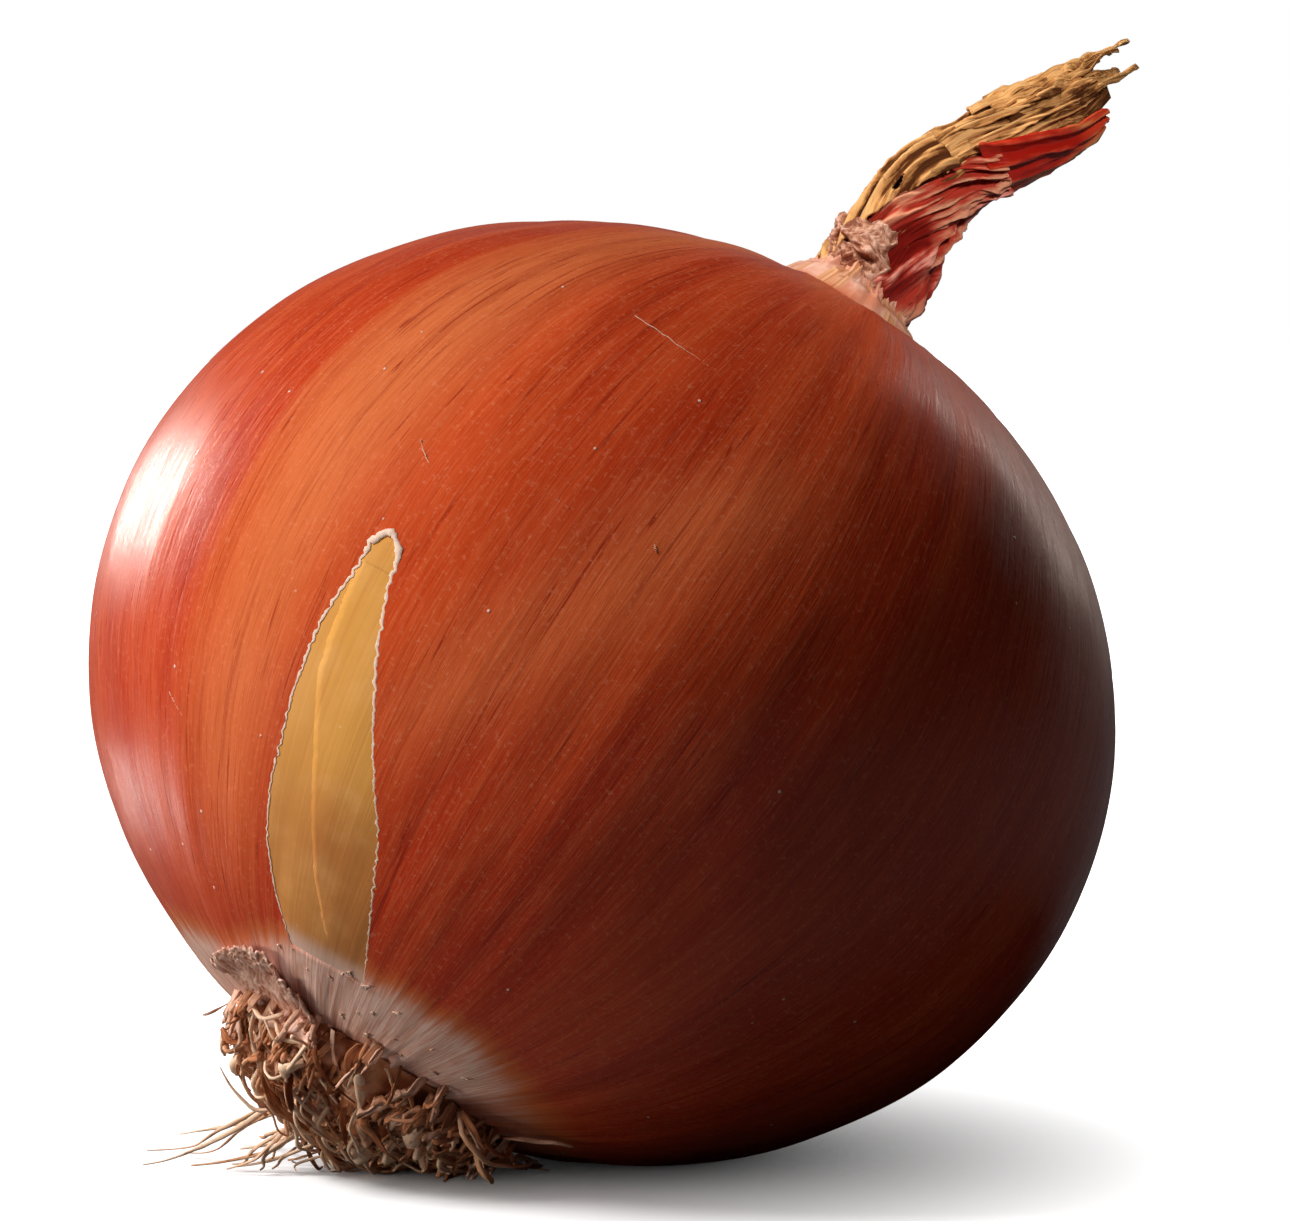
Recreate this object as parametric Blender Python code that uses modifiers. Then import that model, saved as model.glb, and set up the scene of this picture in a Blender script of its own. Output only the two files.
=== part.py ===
"""A brown onion with its dry neck and its roots, leaning over on its own weight.

Metres, +Z up. The origin is the middle of the small flat spot that the bulb rests on, and
+X runs level from the root end towards the neck.
"""

from math import acos, atan2, cos, exp, hypot, pi, radians, sin
from random import Random

import bmesh
import bpy
from mathutils import Vector, noise

# The bulb: a slightly flattened ball that leans, its growth axis leaning further than its short axis
BULB_RADIUS = 0.0375
BULB_HALF_HEIGHT = 0.0335
SHORT_AXIS_LEAN = radians(23.0)
GROWTH_AXIS_LEAN = radians(37.5)
REST_DEPTH = 0.0003

# The papery outer skin
SKIN_THICKNESS = 0.0006
SKIN_SEGMENTS = 48
SKIN_RINGS = 24
ROOT_OPENING = radians(12.5)
NECK_OPENING = radians(7.6)
SHOULDER_START = radians(13.5)
SHOULDER_RISE = 0.0026
RIB_COUNT = 13
RIB_HEIGHT = 0.00012
RIB_EVEN_SHARE = 0.6
RIB_UNEVEN_PHASE = 1.3
RIB_BEND = 0.8
END_CROWDING = 0.45
RIM_RAGGED = radians(1.4)
RIM_RAGGED_TURNS = 2.5
RIM_SEED = 7.0

# Gaps between neighbouring pieces
GAP = 0.0004
INNER_GAP = 0.0005

# The tear in the skin: how far from the root, and its left and right side round the growth axis
TEAR = (
    (radians(80.5), radians(217.0), radians(220.0)),
    (radians(77.0), radians(216.8), radians(221.2)),
    (radians(70.5), radians(215.6), radians(223.6)),
    (radians(62.0), radians(215.4), radians(227.6)),
    (radians(53.0), radians(215.3), radians(232.7)),
    (radians(45.5), radians(215.8), radians(235.3)),
    (radians(39.0), radians(218.0), radians(237.4)),
    (radians(33.0), radians(222.0), radians(239.3)),
)
TEAR_REACH = 0.0022

# The golden scale under the skin
BULB_SEGMENTS = 28
BULB_RINGS = 16

# The basal plate: a plug in the root opening under a wider rough mound
PLATE_EDGE = radians(18.5)
PLATE_SHIFT = radians(4.9)
PLATE_SHIFT_SIDE = radians(292.0)
PLATE_RAGGED = 0.12
PLATE_RAGGED_TURNS = 4.0
PLATE_SEED = 2.0
PLATE_PLUG = radians(8.0)
PLATE_STEP = radians(2.0)
PLATE_HEIGHT = 0.0019
PLATE_FLATNESS = 3.0
PLATE_RIM = 0.0006
PLATE_BUMP = 0.0005
PLATE_BUMP_TURNS = 5.0
PLATE_BUMP_RINGS = 100.0
PLATE_SEGMENTS = 28
PLATE_RINGS = 12

# The dead roots, which lie down over the plate, and the broken stubs between them
ROOT_RADIUS = 0.00042
ROOT_TIP_SHARE = 0.55
ROOT_STEP = 0.0016
ROOT_SEED = 24
FREE_ROOTS = 46
FREE_ROOT_JITTER = 0.4
FREE_ROOT_START = (0.25, 1.0)
FREE_ROOT_LENGTH = (0.0040, 0.0080)
FREE_ROOT_LEAST_STEPS = 2
STUBS = 36
STUB_RADIUS = 0.00055
STUB_LENGTH = (0.0016, 0.0034)
STUB_SPREAD = 1.0
GOLDEN_TURN = radians(137.5)
ROOT_LIFT = 0.35
ROOT_FLARE = (-0.5, 0.1)
ROOT_PULL = 0.40
ROOT_GATHER = 0.18
ROOT_HUG = 0.56
CURL = 0.34
CURL_KEPT = 0.6

# The long roots, which droop to the surface below and run along it to their tips, given by x and y
LONG_ROOT_POINTS = 9
LONG_ROOT_START = 0.45
LONG_ROOT_KNEE = 0.42
LONG_ROOT_LOW = 0.0010
LONG_ROOT_SWAY = 0.0020
LONG_ROOT_WAVES = 1.5
LONG_ROOT_OTHER_WAVE = 9.0
PHASES = 100.0
LONG_ROOT_TIPS = (
    (-0.0352, 0.0090),
    (-0.0330, 0.0142),
    (-0.0322, 0.0072),
    (-0.0304, 0.0048),
    (-0.0284, 0.0034),
    (-0.0262, 0.0020),
    (-0.0240, 0.0010),
    (-0.0215, -0.0008),
    (-0.0180, -0.0032),
    (-0.0146, -0.0044),
    (-0.0112, -0.0048),
    (-0.0088, -0.0040),
    (-0.0130, 0.0100),
    (-0.0235, 0.0160),
    (-0.0175, 0.0140),
    (-0.0285, 0.0195),
)
# A root that curls up off the surface, from inside the plate to its tip
RAISED_ROOT = (
    (-0.0257, 0.0010, 0.0060),
    (-0.0273, 0.0018, 0.0052),
    (-0.0289, 0.0025, 0.0049),
    (-0.0298, 0.0030, 0.0056),
    (-0.0306, 0.0036, 0.0067),
    (-0.0312, 0.0040, 0.0080),
)
CLEARING_STEPS = 60
CLEARING_STRIDE = 1.03

# The dead scale that clings beside the plate
REMNANT_FROM = radians(22.3)
REMNANT_TO = radians(29.0)
REMNANT_LEFT = radians(190.0)
REMNANT_RIGHT = radians(230.0)
REMNANT_THICKNESS = 0.0007
REMNANT_CURL = 0.0007
REMNANT_MARGIN = radians(2.0)
REMNANT_COLUMNS = 13
REMNANT_ROWS = 4
REMNANT_RAGGED = 0.14
REMNANT_RAGGED_COUNT = 19.0
REMNANT_ARCH_FROM = 0.15
REMNANT_ARCH_TO = 0.87
REMNANT_DENT = 0.0002
REMNANT_DENTS = (9.0, 4.0, 3.0)

# The neck: points of its centre line in the bulb's own axes, and its radius at each
NECK_LINE = (
    (0.0000, 0.0000, 0.0330),
    (-0.0003, 0.0001, 0.0365),
    (-0.0012, 0.0005, 0.0410),
    (-0.0014, 0.0004, 0.0450),
    (-0.0004, 0.0000, 0.0492),
    (0.0017, -0.0014, 0.0535),
    (0.0034, -0.0026, 0.0567),
    (0.0044, -0.0034, 0.0594),
)
NECK_RADII = (0.0032, 0.0033, 0.0037, 0.0036, 0.0032, 0.0028, 0.0023, 0.0015)
NECK_SEGMENTS = 20
NECK_RINGS = 20
NECK_LOBES = 5
NECK_LOBE_DEPTH = 0.13
NECK_LOBE_DEPTH_LOW = 0.04
NECK_LOBES_FROM = 0.35
NECK_LOBES_RUN = 0.3
NECK_ROUGHNESS = 0.0002
NECK_BUMPS_ALONG = 3.0
NECK_BUMPS_ROUND = 1.5
NECK_CAP = 0.0006
NECK_LINE_STEP = 0.01
NECK_TWIST = radians(75.0)
NECK_SEED = 5

# Dry leaf ends that fray out of the neck: the side that they lie on, where they start and their reach
STRAWS = (
    (radians(75.0), 0.62, 0.0100, 0.0024),
    (radians(110.0), 0.55, 0.0130, 0.0028),
    (radians(140.0), 0.60, 0.0130, 0.0024),
    (radians(170.0), 0.50, 0.0135, 0.0030),
    (radians(200.0), 0.58, 0.0140, 0.0024),
    (radians(228.0), 0.66, 0.0100, 0.0026),
    (radians(255.0), 0.72, 0.0072, 0.0022),
    (radians(40.0), 0.72, 0.0062, 0.0022),
)
STRAW_THICKNESS = 0.0007
STRAW_ROWS = 6
STRAW_SINK = 0.0009
STRAW_AIM = 0.25
STRAW_TAPER = 0.85
STRAW_TAPER_POWER = 1.5
STRAW_LIFT = 0.0012
STRAW_WAVE = 0.0009
STRAW_WAVES = 2.5
STRAW_SWAY = 0.0016
STRAW_SWAYS = 2.0
STRAW_SWAY_SEED = 5.0
STRAW_FOLD = 0.0006
STRAW_SEED_STEP = 3.7

# The red papery leaf round the lower side of the neck
LEAF_THICKNESS = 0.0006
LEAF_START = 0.175
LEAF_BEND = 0.60
LEAF_END = 0.93
LEAF_HIDDEN_SIDE = radians(50.0)
LEAF_OPEN_SIDE_LOW = radians(-185.0)
LEAF_OPEN_SIDE_HIGH = radians(-72.0)
LEAF_TONGUE_SIDE = radians(-8.0)
LEAF_COLUMNS = 12
LEAF_ROWS = 12
LEAF_FLUTES = 7
LEAF_FLUTE_DEPTH = 0.00012
LEAF_FLUTE_SLANT = 5.0
LEAF_KNEE = 0.0003
LEAF_KNEE_LENGTH = 0.07
LEAF_TURN_LENGTH = 0.12
LEAF_JAG = 0.05
LEAF_JAGS = 8.0
LEAF_JAG_SEED = 2.0

# How near the sphere's pole a point counts as the pole, and points closer than WELD as one
TINY = 1e-9
WELD = 1e-7
# The block that cuts the flat spot
SLAB = 0.06

UP = Vector((0.0, 0.0, 1.0))
SHORT_AXIS = Vector((sin(SHORT_AXIS_LEAN), 0.0, cos(SHORT_AXIS_LEAN)))
GROWTH_AXIS = Vector((sin(GROWTH_AXIS_LEAN), 0.0, cos(GROWTH_AXIS_LEAN)))
SIDE_AXIS = Vector((cos(GROWTH_AXIS_LEAN), 0.0, -sin(GROWTH_AXIS_LEAN)))
ACROSS_AXIS = Vector((0.0, 1.0, 0.0))


def bulb_centre():
    """The ball's centre when its lowest point lies REST_DEPTH under the origin."""
    rise = hypot(BULB_RADIUS * sin(SHORT_AXIS_LEAN), BULB_HALF_HEIGHT * cos(SHORT_AXIS_LEAN))
    squash = BULB_RADIUS**2 - BULB_HALF_HEIGHT**2
    offset = squash * sin(SHORT_AXIS_LEAN) * cos(SHORT_AXIS_LEAN) / rise
    return Vector((-offset, 0.0, rise - REST_DEPTH))


CENTRE = bulb_centre()


def smooth(value):
    """0 to 1 with flat ends."""
    value = min(max(value, 0.0), 1.0)
    return value * value * (3.0 - 2.0 * value)


def between(value, low, high):
    return low + (high - low) * value


def bulb_axes(x, y, z):
    """A point given in the bulb's own axes, z being the growth axis."""
    return CENTRE + SIDE_AXIS * x + ACROSS_AXIS * y + GROWTH_AXIS * z


def direction(lon, away):
    """The way out from the centre: lon turns round the growth axis, away is the angle from the root end."""
    outward = SIDE_AXIS * cos(lon) + ACROSS_AXIS * sin(lon)
    return outward * sin(away) - GROWTH_AXIS * cos(away)


def angles_of(place):
    """The lon, the angle from the root end and the distance of a place from the centre."""
    offset = place - CENTRE
    distance = offset.length
    across = offset.dot(ACROSS_AXIS)
    side = offset.dot(SIDE_AXIS)
    away = acos(max(-1.0, min(1.0, -offset.dot(GROWTH_AXIS) / distance)))
    return atan2(across, side), away, distance


def ball_radius(way):
    """Distance from the centre to the plain flattened ball."""
    along = way.dot(SHORT_AXIS)
    return 1.0 / hypot(
        (1.0 - along * along) ** 0.5 / BULB_RADIUS if along * along < 1.0 else 0.0,
        along / BULB_HALF_HEIGHT,
    )


def ribs(lon, away):
    """Low uneven ribs from root to neck, which fade out at both ends."""
    uneven = between(sin(2.0 * lon + RIB_UNEVEN_PHASE), RIB_EVEN_SHARE, 1.0)
    return RIB_HEIGHT * uneven * sin(RIB_COUNT * lon + RIB_BEND * sin(away)) * sin(away) ** 2


def shoulder(away):
    """The rise of the skin round the neck."""
    from_neck = pi - away
    return SHOULDER_RISE * smooth((SHOULDER_START - from_neck) / (SHOULDER_START - NECK_OPENING))


def skin_radius(lon, away):
    return ball_radius(direction(lon, away)) + ribs(lon, away) + shoulder(away)


def skin_point(lon, away, lift=0.0):
    """A point over the outside of the skin, by lift."""
    return CENTRE + direction(lon, away) * (skin_radius(lon, away) + lift)


def wobble(*seeds):
    """A smooth repeatable value from about -1 to 1."""
    return 2.0 * noise.noise(Vector(seeds))


def clear_scene():
    for obj in list(bpy.data.objects):
        bpy.data.objects.remove(obj, do_unlink=True)


def new_collection(name):
    collection = bpy.data.collections.new(name)
    bpy.context.scene.collection.children.link(collection)
    return collection


def new_material(name, colour, roughness):
    material = bpy.data.materials.new(name)
    material.use_nodes = True
    shader = material.node_tree.nodes["Principled BSDF"]
    shader.inputs["Base Color"].default_value = (*colour, 1.0)
    shader.inputs["Roughness"].default_value = roughness
    shader.inputs["Metallic"].default_value = 0.0
    return material


def new_object(name, mesh, collection):
    obj = bpy.data.objects.new(name, mesh)
    collection.objects.link(obj)
    return obj


def mesh_of(name, form):
    """A mesh datablock from a bmesh, which is then freed."""
    mesh = bpy.data.meshes.new(name)
    form.to_mesh(mesh)
    form.free()
    return mesh


def mapped_ball(name, segments, rings, place):
    """A closed UV sphere whose points go to place(turn, share), share running 0 to 1 from its lower pole."""
    form = bmesh.new()
    bmesh.ops.create_uvsphere(form, u_segments=segments, v_segments=rings, radius=1.0)
    for vertex in form.verts:
        share = acos(max(-1.0, min(1.0, -vertex.co.z))) / pi
        vertex.co = place(atan2(vertex.co.y, vertex.co.x), share)
    return mesh_of(name, form)


def mapped_sheet(name, columns, rows, place):
    """An open grid whose points go to place(u, v), each running 0 to 1."""
    form = bmesh.new()
    bmesh.ops.create_grid(form, x_segments=columns, y_segments=rows, size=1.0)
    for vertex in form.verts:
        vertex.co = place((vertex.co.x + 1.0) / 2.0, (vertex.co.y + 1.0) / 2.0)
    bmesh.ops.triangulate(form, faces=form.faces)
    return mesh_of(name, form)


def thicken(obj, thickness):
    """Gives a sheet its thickness on the side that its faces turn away from."""
    modifier = obj.modifiers.new("thickness", "SOLIDIFY")
    modifier.thickness = thickness
    modifier.offset = -1.0
    return obj


def evaluated_mesh(obj):
    """The object's mesh with its modifiers, welded where a curve's caps meet its sides."""
    graph = bpy.context.evaluated_depsgraph_get()
    mesh = bpy.data.meshes.new_from_object(obj.evaluated_get(graph))
    form = bmesh.new()
    form.from_mesh(mesh)
    bmesh.ops.remove_doubles(form, verts=form.verts, dist=WELD)
    bmesh.ops.recalc_face_normals(form, faces=form.faces)
    form.to_mesh(mesh)
    form.free()
    return mesh


def islands(form):
    """The separate bodies of a bmesh, as lists of their vertices."""
    left = set(form.verts)
    found = []
    while left:
        island = [left.pop()]
        for vertex in island:
            for edge in vertex.link_edges:
                other = edge.other_vert(vertex)
                if other in left:
                    left.remove(other)
                    island.append(other)
        found.append(island)
    return found


def drop_scraps(mesh):
    """Keeps the largest body only."""
    form = bmesh.new()
    form.from_mesh(mesh)
    bodies = sorted(islands(form), key=len)
    for scrap in bodies[:-1]:
        bmesh.ops.delete(form, geom=scrap, context="VERTS")
    form.to_mesh(mesh)
    form.free()


def fuse(obj, repeats):
    """Joins the objects of the collection to obj, then removes them."""
    union = obj.modifiers.new("join", "BOOLEAN")
    union.operation = "UNION"
    union.operand_type = "COLLECTION"
    union.collection = repeats
    union.solver = "MANIFOLD"
    bpy.context.view_layer.update()
    mesh = evaluated_mesh(obj)
    drop_scraps(mesh)
    obj.modifiers.clear()
    obj.data = mesh
    for piece in list(repeats.objects):
        bpy.data.objects.remove(piece, do_unlink=True)
    bpy.data.collections.remove(repeats)


def subtract(obj, cutter):
    cut = obj.modifiers.new("cut", "BOOLEAN")
    cut.operation = "DIFFERENCE"
    cut.object = cutter
    cutter.hide_render = True
    cutter.display_type = "WIRE"


def finish(obj, material):
    obj.data.materials.clear()
    obj.data.materials.append(material)
    obj.data.shade_smooth()


def crowded(share):
    """Evenly spread shares of 0 to 1 moved closer together at both ends."""
    return share - END_CROWDING * sin(2.0 * pi * share) / (2.0 * pi)


def make_skin(parts):
    """The open skin from the root opening to the ragged edge round the neck."""
    form = bmesh.new()
    bmesh.ops.create_uvsphere(form, u_segments=SKIN_SEGMENTS, v_segments=SKIN_RINGS, radius=1.0)
    poles = [vertex for vertex in form.verts if abs(vertex.co.z) > 1.0 - TINY]
    bmesh.ops.delete(form, geom=poles, context="VERTS")
    first_ring = 1.0 / SKIN_RINGS
    for vertex in form.verts:
        lon = atan2(vertex.co.y, vertex.co.x)
        share = acos(-vertex.co.z) / pi
        share = crowded((share - first_ring) / (1.0 - 2.0 * first_ring))
        away = between(share, ROOT_OPENING, pi - NECK_OPENING)
        if share > 1.0 - first_ring / 2.0:
            away += RIM_RAGGED * wobble(RIM_RAGGED_TURNS * cos(lon), RIM_RAGGED_TURNS * sin(lon), RIM_SEED)
        vertex.co = skin_point(lon, away)
    return thicken(new_object("outer_skin", mesh_of("outer_skin", form), parts), SKIN_THICKNESS)


def tear_cutter(cutters):
    """The tear's outline drawn through the skin towards the bulb's centre."""
    form = bmesh.new()
    loops = []
    for away, left, right in TEAR:
        corners = ((left, -TEAR_REACH), (right, -TEAR_REACH), (right, TEAR_REACH), (left, TEAR_REACH))
        loops.append([form.verts.new(skin_point(lon, away, lift)) for lon, lift in corners])
    for before, after in zip(loops, loops[1:]):
        for index in range(len(before)):
            following = (index + 1) % len(before)
            form.faces.new((before[index], before[following], after[following], after[index]))
    form.faces.new(reversed(loops[0]))
    form.faces.new(loops[-1])
    bmesh.ops.recalc_face_normals(form, faces=form.faces)
    return new_object("tear_cutter", mesh_of("tear_cutter", form), cutters)


def rest_cutter(cutters):
    """A block under the resting plane, which leaves the skin its flat spot."""
    form = bmesh.new()
    bmesh.ops.create_cube(form, size=SLAB)
    bmesh.ops.translate(form, verts=form.verts, vec=(0.0, 0.0, -SLAB / 2.0))
    return new_object("rest_cutter", mesh_of("rest_cutter", form), cutters)


def make_bulb(parts):
    """The fleshy bulb under the skin, its outermost scale golden."""

    def place(turn, share):
        away = pi * share
        depth = SKIN_THICKNESS + INNER_GAP + shoulder(away)
        return skin_point(turn, away, -depth)

    return new_object("bulb", mapped_ball("bulb", BULB_SEGMENTS, BULB_RINGS, place), parts)


def plate_reach(lon):
    """The angle from the root end at which the plate's ragged edge lies."""
    wave = wobble(PLATE_RAGGED_TURNS * cos(lon), PLATE_RAGGED_TURNS * sin(lon), PLATE_SEED)
    middle = PLATE_EDGE + PLATE_SHIFT * cos(lon - PLATE_SHIFT_SIDE)
    return middle * (1.0 - PLATE_RAGGED * (0.5 + 0.5 * wave))


def mound(lon, away):
    """How far the plate's rough mound rises over the skin."""
    share = min(away / plate_reach(lon), 1.0)
    return GAP + PLATE_RIM + PLATE_HEIGHT * (1.0 - share**PLATE_FLATNESS)


def plate_form(turn, share):
    """The basal plate: a plug in the root opening under a wider bumpy cap that lies over the skin."""
    if share > 0.5:
        away = plate_reach(turn) * 2.0 * (1.0 - share)
        inner = smooth((away - PLATE_PLUG) / PLATE_STEP)
        return skin_point(turn, away, between(inner, GAP - SKIN_THICKNESS - INNER_GAP, GAP))
    away = plate_reach(turn) * 2.0 * share
    wave = wobble(PLATE_BUMP_TURNS * cos(turn), PLATE_BUMP_TURNS * sin(turn), PLATE_BUMP_RINGS * away)
    return skin_point(turn, away, mound(turn, away) + PLATE_BUMP * cos(pi * share) * wave)


def least_distance(lon, away, radius):
    """How far from the bulb's centre a root of that radius stays, to lie on the plate and clear the rest."""
    if away < plate_reach(lon):
        return skin_radius(lon, away) + mound(lon, away)
    around = lon % (2.0 * pi)
    beside = REMNANT_LEFT - REMNANT_MARGIN < around < REMNANT_RIGHT + REMNANT_MARGIN
    covered = beside and away > REMNANT_FROM - REMNANT_MARGIN
    cover = GAP + REMNANT_THICKNESS + REMNANT_CURL if covered else 0.0
    return skin_radius(lon, away) + cover + GAP + radius


def clear_place(place, radius):
    """The place moved off the skin and the surface below, and out of the wedge between the two."""
    for _ in range(CLEARING_STEPS):
        place.z = max(place.z, radius)
        lon, away, distance = angles_of(place)
        least = least_distance(lon, away, radius)
        if distance >= least - WELD:
            break
        if place.z > radius + WELD:
            place = CENTRE + (place - CENTRE) * (least / distance)
        else:
            place = Vector((place.x * CLEARING_STRIDE, place.y * CLEARING_STRIDE, radius))
    return place


def free_root(draw, lon, away, length, radius):
    """A root that leaves the plate, curls, and lies down over it towards the lower side."""
    place = clear_place(skin_point(lon, away), radius)
    flare = (SIDE_AXIS * cos(lon) + ACROSS_AXIS * sin(lon)) * draw.uniform(*ROOT_FLARE)
    heading = direction(lon, away) * ROOT_LIFT + flare
    drift = Vector((draw.uniform(-1.0, 1.0), draw.uniform(-1.0, 1.0), draw.uniform(-1.0, 1.0)))
    points = [place]
    for _ in range(max(FREE_ROOT_LEAST_STEPS, round(length / ROOT_STEP))):
        inward = (CENTRE - place).normalized()
        heading = heading.normalized() + drift * CURL
        heading += SIDE_AXIS * ROOT_PULL + ACROSS_AXIS * ROOT_GATHER + inward * ROOT_HUG
        drift.rotate(draw_turn(draw))
        place = clear_place(place + heading.normalized() * ROOT_STEP, radius)
        points.append(place)
    return points


def draw_turn(draw):
    """A small random rotation."""
    turn = Vector((draw.uniform(-1.0, 1.0), draw.uniform(-1.0, 1.0), draw.uniform(-1.0, 1.0)))
    return turn.to_track_quat("Z", "Y").slerp(UP.to_track_quat("Z", "Y"), CURL_KEPT)


def long_root(draw, tip):
    """A root that droops to the surface below and runs along it to its tip."""
    end = Vector((tip[0], tip[1], ROOT_RADIUS))
    lon, away, _ = angles_of(end)
    start = skin_point(lon, min(away, PLATE_EDGE) * LONG_ROOT_START, PLATE_RIM)
    knee = start + (end - start) * LONG_ROOT_KNEE
    knee.z = LONG_ROOT_LOW
    phase = draw.uniform(0.0, PHASES)
    points = []
    for index in range(LONG_ROOT_POINTS + 1):
        share = index / LONG_ROOT_POINTS
        place = start * (1.0 - share) ** 2 + knee * 2.0 * share * (1.0 - share) + end * share**2
        wave = LONG_ROOT_WAVES * share
        sway = Vector((wobble(phase, wave, 0.0), wobble(phase, wave, LONG_ROOT_OTHER_WAVE), 0.0))
        place += sway * (LONG_ROOT_SWAY * sin(pi * share))
        points.append(clear_place(place, ROOT_RADIUS))
    return points


def root_object(name, points, radius, collection):
    """A thin four-sided tube along the points that tapers to its tip."""
    curve = bpy.data.curves.new(name, "CURVE")
    curve.dimensions = "3D"
    curve.bevel_depth = radius
    curve.bevel_resolution = 0
    curve.use_fill_caps = True
    spline = curve.splines.new("POLY")
    spline.points.add(len(points) - 1)
    for index, place in enumerate(points):
        spline.points[index].co = (*place, 1.0)
        spline.points[index].radius = between(index / (len(points) - 1), 1.0, ROOT_TIP_SHARE)
    guide = new_object(name, curve, collection)
    bpy.context.view_layer.update()
    tube = new_object(name + "_tube", evaluated_mesh(guide), collection)
    bpy.data.objects.remove(guide, do_unlink=True)
    return tube


def make_roots(parts):
    """The basal plate and all its roots in one body."""
    plate = new_object("root_tuft", mapped_ball("root_tuft", PLATE_SEGMENTS, PLATE_RINGS, plate_form), parts)
    roots = new_collection("roots")
    draw = Random(ROOT_SEED)
    for tip in LONG_ROOT_TIPS:
        root_object("root", long_root(draw, tip), ROOT_RADIUS, roots)
    root_object("root", [Vector(point) for point in RAISED_ROOT], ROOT_RADIUS, roots)
    for index in range(FREE_ROOTS):
        lon = 2.0 * pi * (index + draw.uniform(-FREE_ROOT_JITTER, FREE_ROOT_JITTER)) / FREE_ROOTS
        away = plate_reach(lon) * draw.uniform(*FREE_ROOT_START)
        length = draw.uniform(*FREE_ROOT_LENGTH)
        root_object("root", free_root(draw, lon, away, length, ROOT_RADIUS), ROOT_RADIUS, roots)
    for index in range(STUBS):
        lon = GOLDEN_TURN * index
        away = plate_reach(lon) * STUB_SPREAD * ((index + 0.5) / STUBS) ** 0.5
        length = draw.uniform(*STUB_LENGTH)
        root_object("root", free_root(draw, lon, away, length, STUB_RADIUS), STUB_RADIUS, roots)
    fuse(plate, roots)
    return plate


def remnant_point(u, v):
    """The dead scale: it hugs the skin at its root side and curls off it at its jagged upper rim."""
    lon = between(u, REMNANT_LEFT, REMNANT_RIGHT)
    ragged = REMNANT_RAGGED * wobble(REMNANT_RAGGED_COUNT * u, 1.0, 0.0)
    arch = sin(between(u, REMNANT_ARCH_FROM, REMNANT_ARCH_TO) * pi)
    far = between(arch + ragged, REMNANT_FROM, REMNANT_TO)
    away = between(v, REMNANT_FROM, far)
    along, up, seed = REMNANT_DENTS
    dents = REMNANT_DENT * (1.0 + wobble(along * u, up * v, seed))
    return skin_point(lon, away, GAP + REMNANT_THICKNESS + REMNANT_CURL * v**3 + dents)


def make_remnant(parts):
    sheet = mapped_sheet("scale_remnant", REMNANT_COLUMNS, REMNANT_ROWS, remnant_point)
    return thicken(new_object("scale_remnant", sheet, parts), REMNANT_THICKNESS)


def neck_value(values, share):
    """A smooth value at a share of 0 to 1 along a row of values, by a curve through them."""
    spot = share * (len(values) - 1)
    index = min(int(spot), len(values) - 2)
    part = spot - index
    before = values[max(index - 1, 0)]
    start = values[index]
    end = values[index + 1]
    after = values[min(index + 2, len(values) - 1)]
    slope_in = (end - before) * 0.5
    slope_out = (after - start) * 0.5
    turn = start * 2.0 - end * 2.0 + slope_in + slope_out
    bow = end * 3.0 - start * 3.0 - slope_in * 2.0 - slope_out
    return start + slope_in * part + bow * part**2 + turn * part**3


def neck_frame(share):
    """The centre of the neck at a share of its length, and the two directions across it."""
    line = [bulb_axes(*point) for point in NECK_LINE]
    centre = neck_value(line, share)
    ahead = neck_value(line, min(share + NECK_LINE_STEP, 1.0))
    behind = neck_value(line, max(share - NECK_LINE_STEP, 0.0))
    along = (ahead - behind).normalized()
    side = (SIDE_AXIS - along * SIDE_AXIS.dot(along)).normalized()
    return centre, side, along.cross(side), along


def lobe_depth(share):
    """The neck's grooves, shallow inside the skin's collar and deep along the twisted end."""
    return between(smooth((share - NECK_LOBES_FROM) / NECK_LOBES_RUN), NECK_LOBE_DEPTH_LOW, NECK_LOBE_DEPTH)


def neck_point(share, turn, lift=0.0, lobed=True):
    """A point on the neck's surface, or over it by lift."""
    centre, side, across, _ = neck_frame(share)
    radius = neck_value(NECK_RADII, share)
    if lobed:
        radius *= 1.0 + lobe_depth(share) * sin(NECK_LOBES * (turn - NECK_TWIST * share))
        bumps = NECK_BUMPS_ROUND * cos(turn), NECK_BUMPS_ROUND * sin(turn)
        radius += NECK_ROUGHNESS * wobble(NECK_BUMPS_ALONG * share, *bumps)
    return centre + (side * cos(turn) + across * sin(turn)) * (radius + lift)


def neck_form(turn, share):
    """The neck as a closed body: rings along most of its length and a rounded cap at either end."""
    cap = 1.0 / NECK_RINGS
    along = min(max((share - cap) / (1.0 - 2.0 * cap), 0.0), 1.0)
    if cap / 2.0 < share < 1.0 - cap / 2.0:
        return neck_point(along, turn)
    centre, _, _, heading = neck_frame(along)
    return centre + heading * (NECK_CAP if share > 0.5 else 0.0)


def straw_point(side, start, reach, width, seed):
    """The points of one frayed leaf end, which starts inside the neck and ends past it in a point."""

    def place(u, v):
        root, _, _, _ = neck_frame(start)
        base = neck_point(start, side, -STRAW_SINK, lobed=False)
        outward = (base - root).normalized()
        _, _, _, along = neck_frame(min(start + STRAW_AIM, 1.0))
        sideways = along.cross(outward)
        half = 0.5 * width * (1.0 - STRAW_TAPER * v**STRAW_TAPER_POWER)
        centre = base + along * (reach * v)
        centre += outward * (STRAW_LIFT * v**2 + STRAW_WAVE * wobble(seed, STRAW_WAVES * v, 0.0))
        centre += sideways * STRAW_SWAY * v * wobble(seed, STRAW_SWAYS * v, STRAW_SWAY_SEED)
        fold = -STRAW_FOLD * 2.0 * abs(u - 0.5) * (1.0 - v)
        return centre + sideways * half * (2.0 * u - 1.0) + outward * fold

    return place


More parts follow.
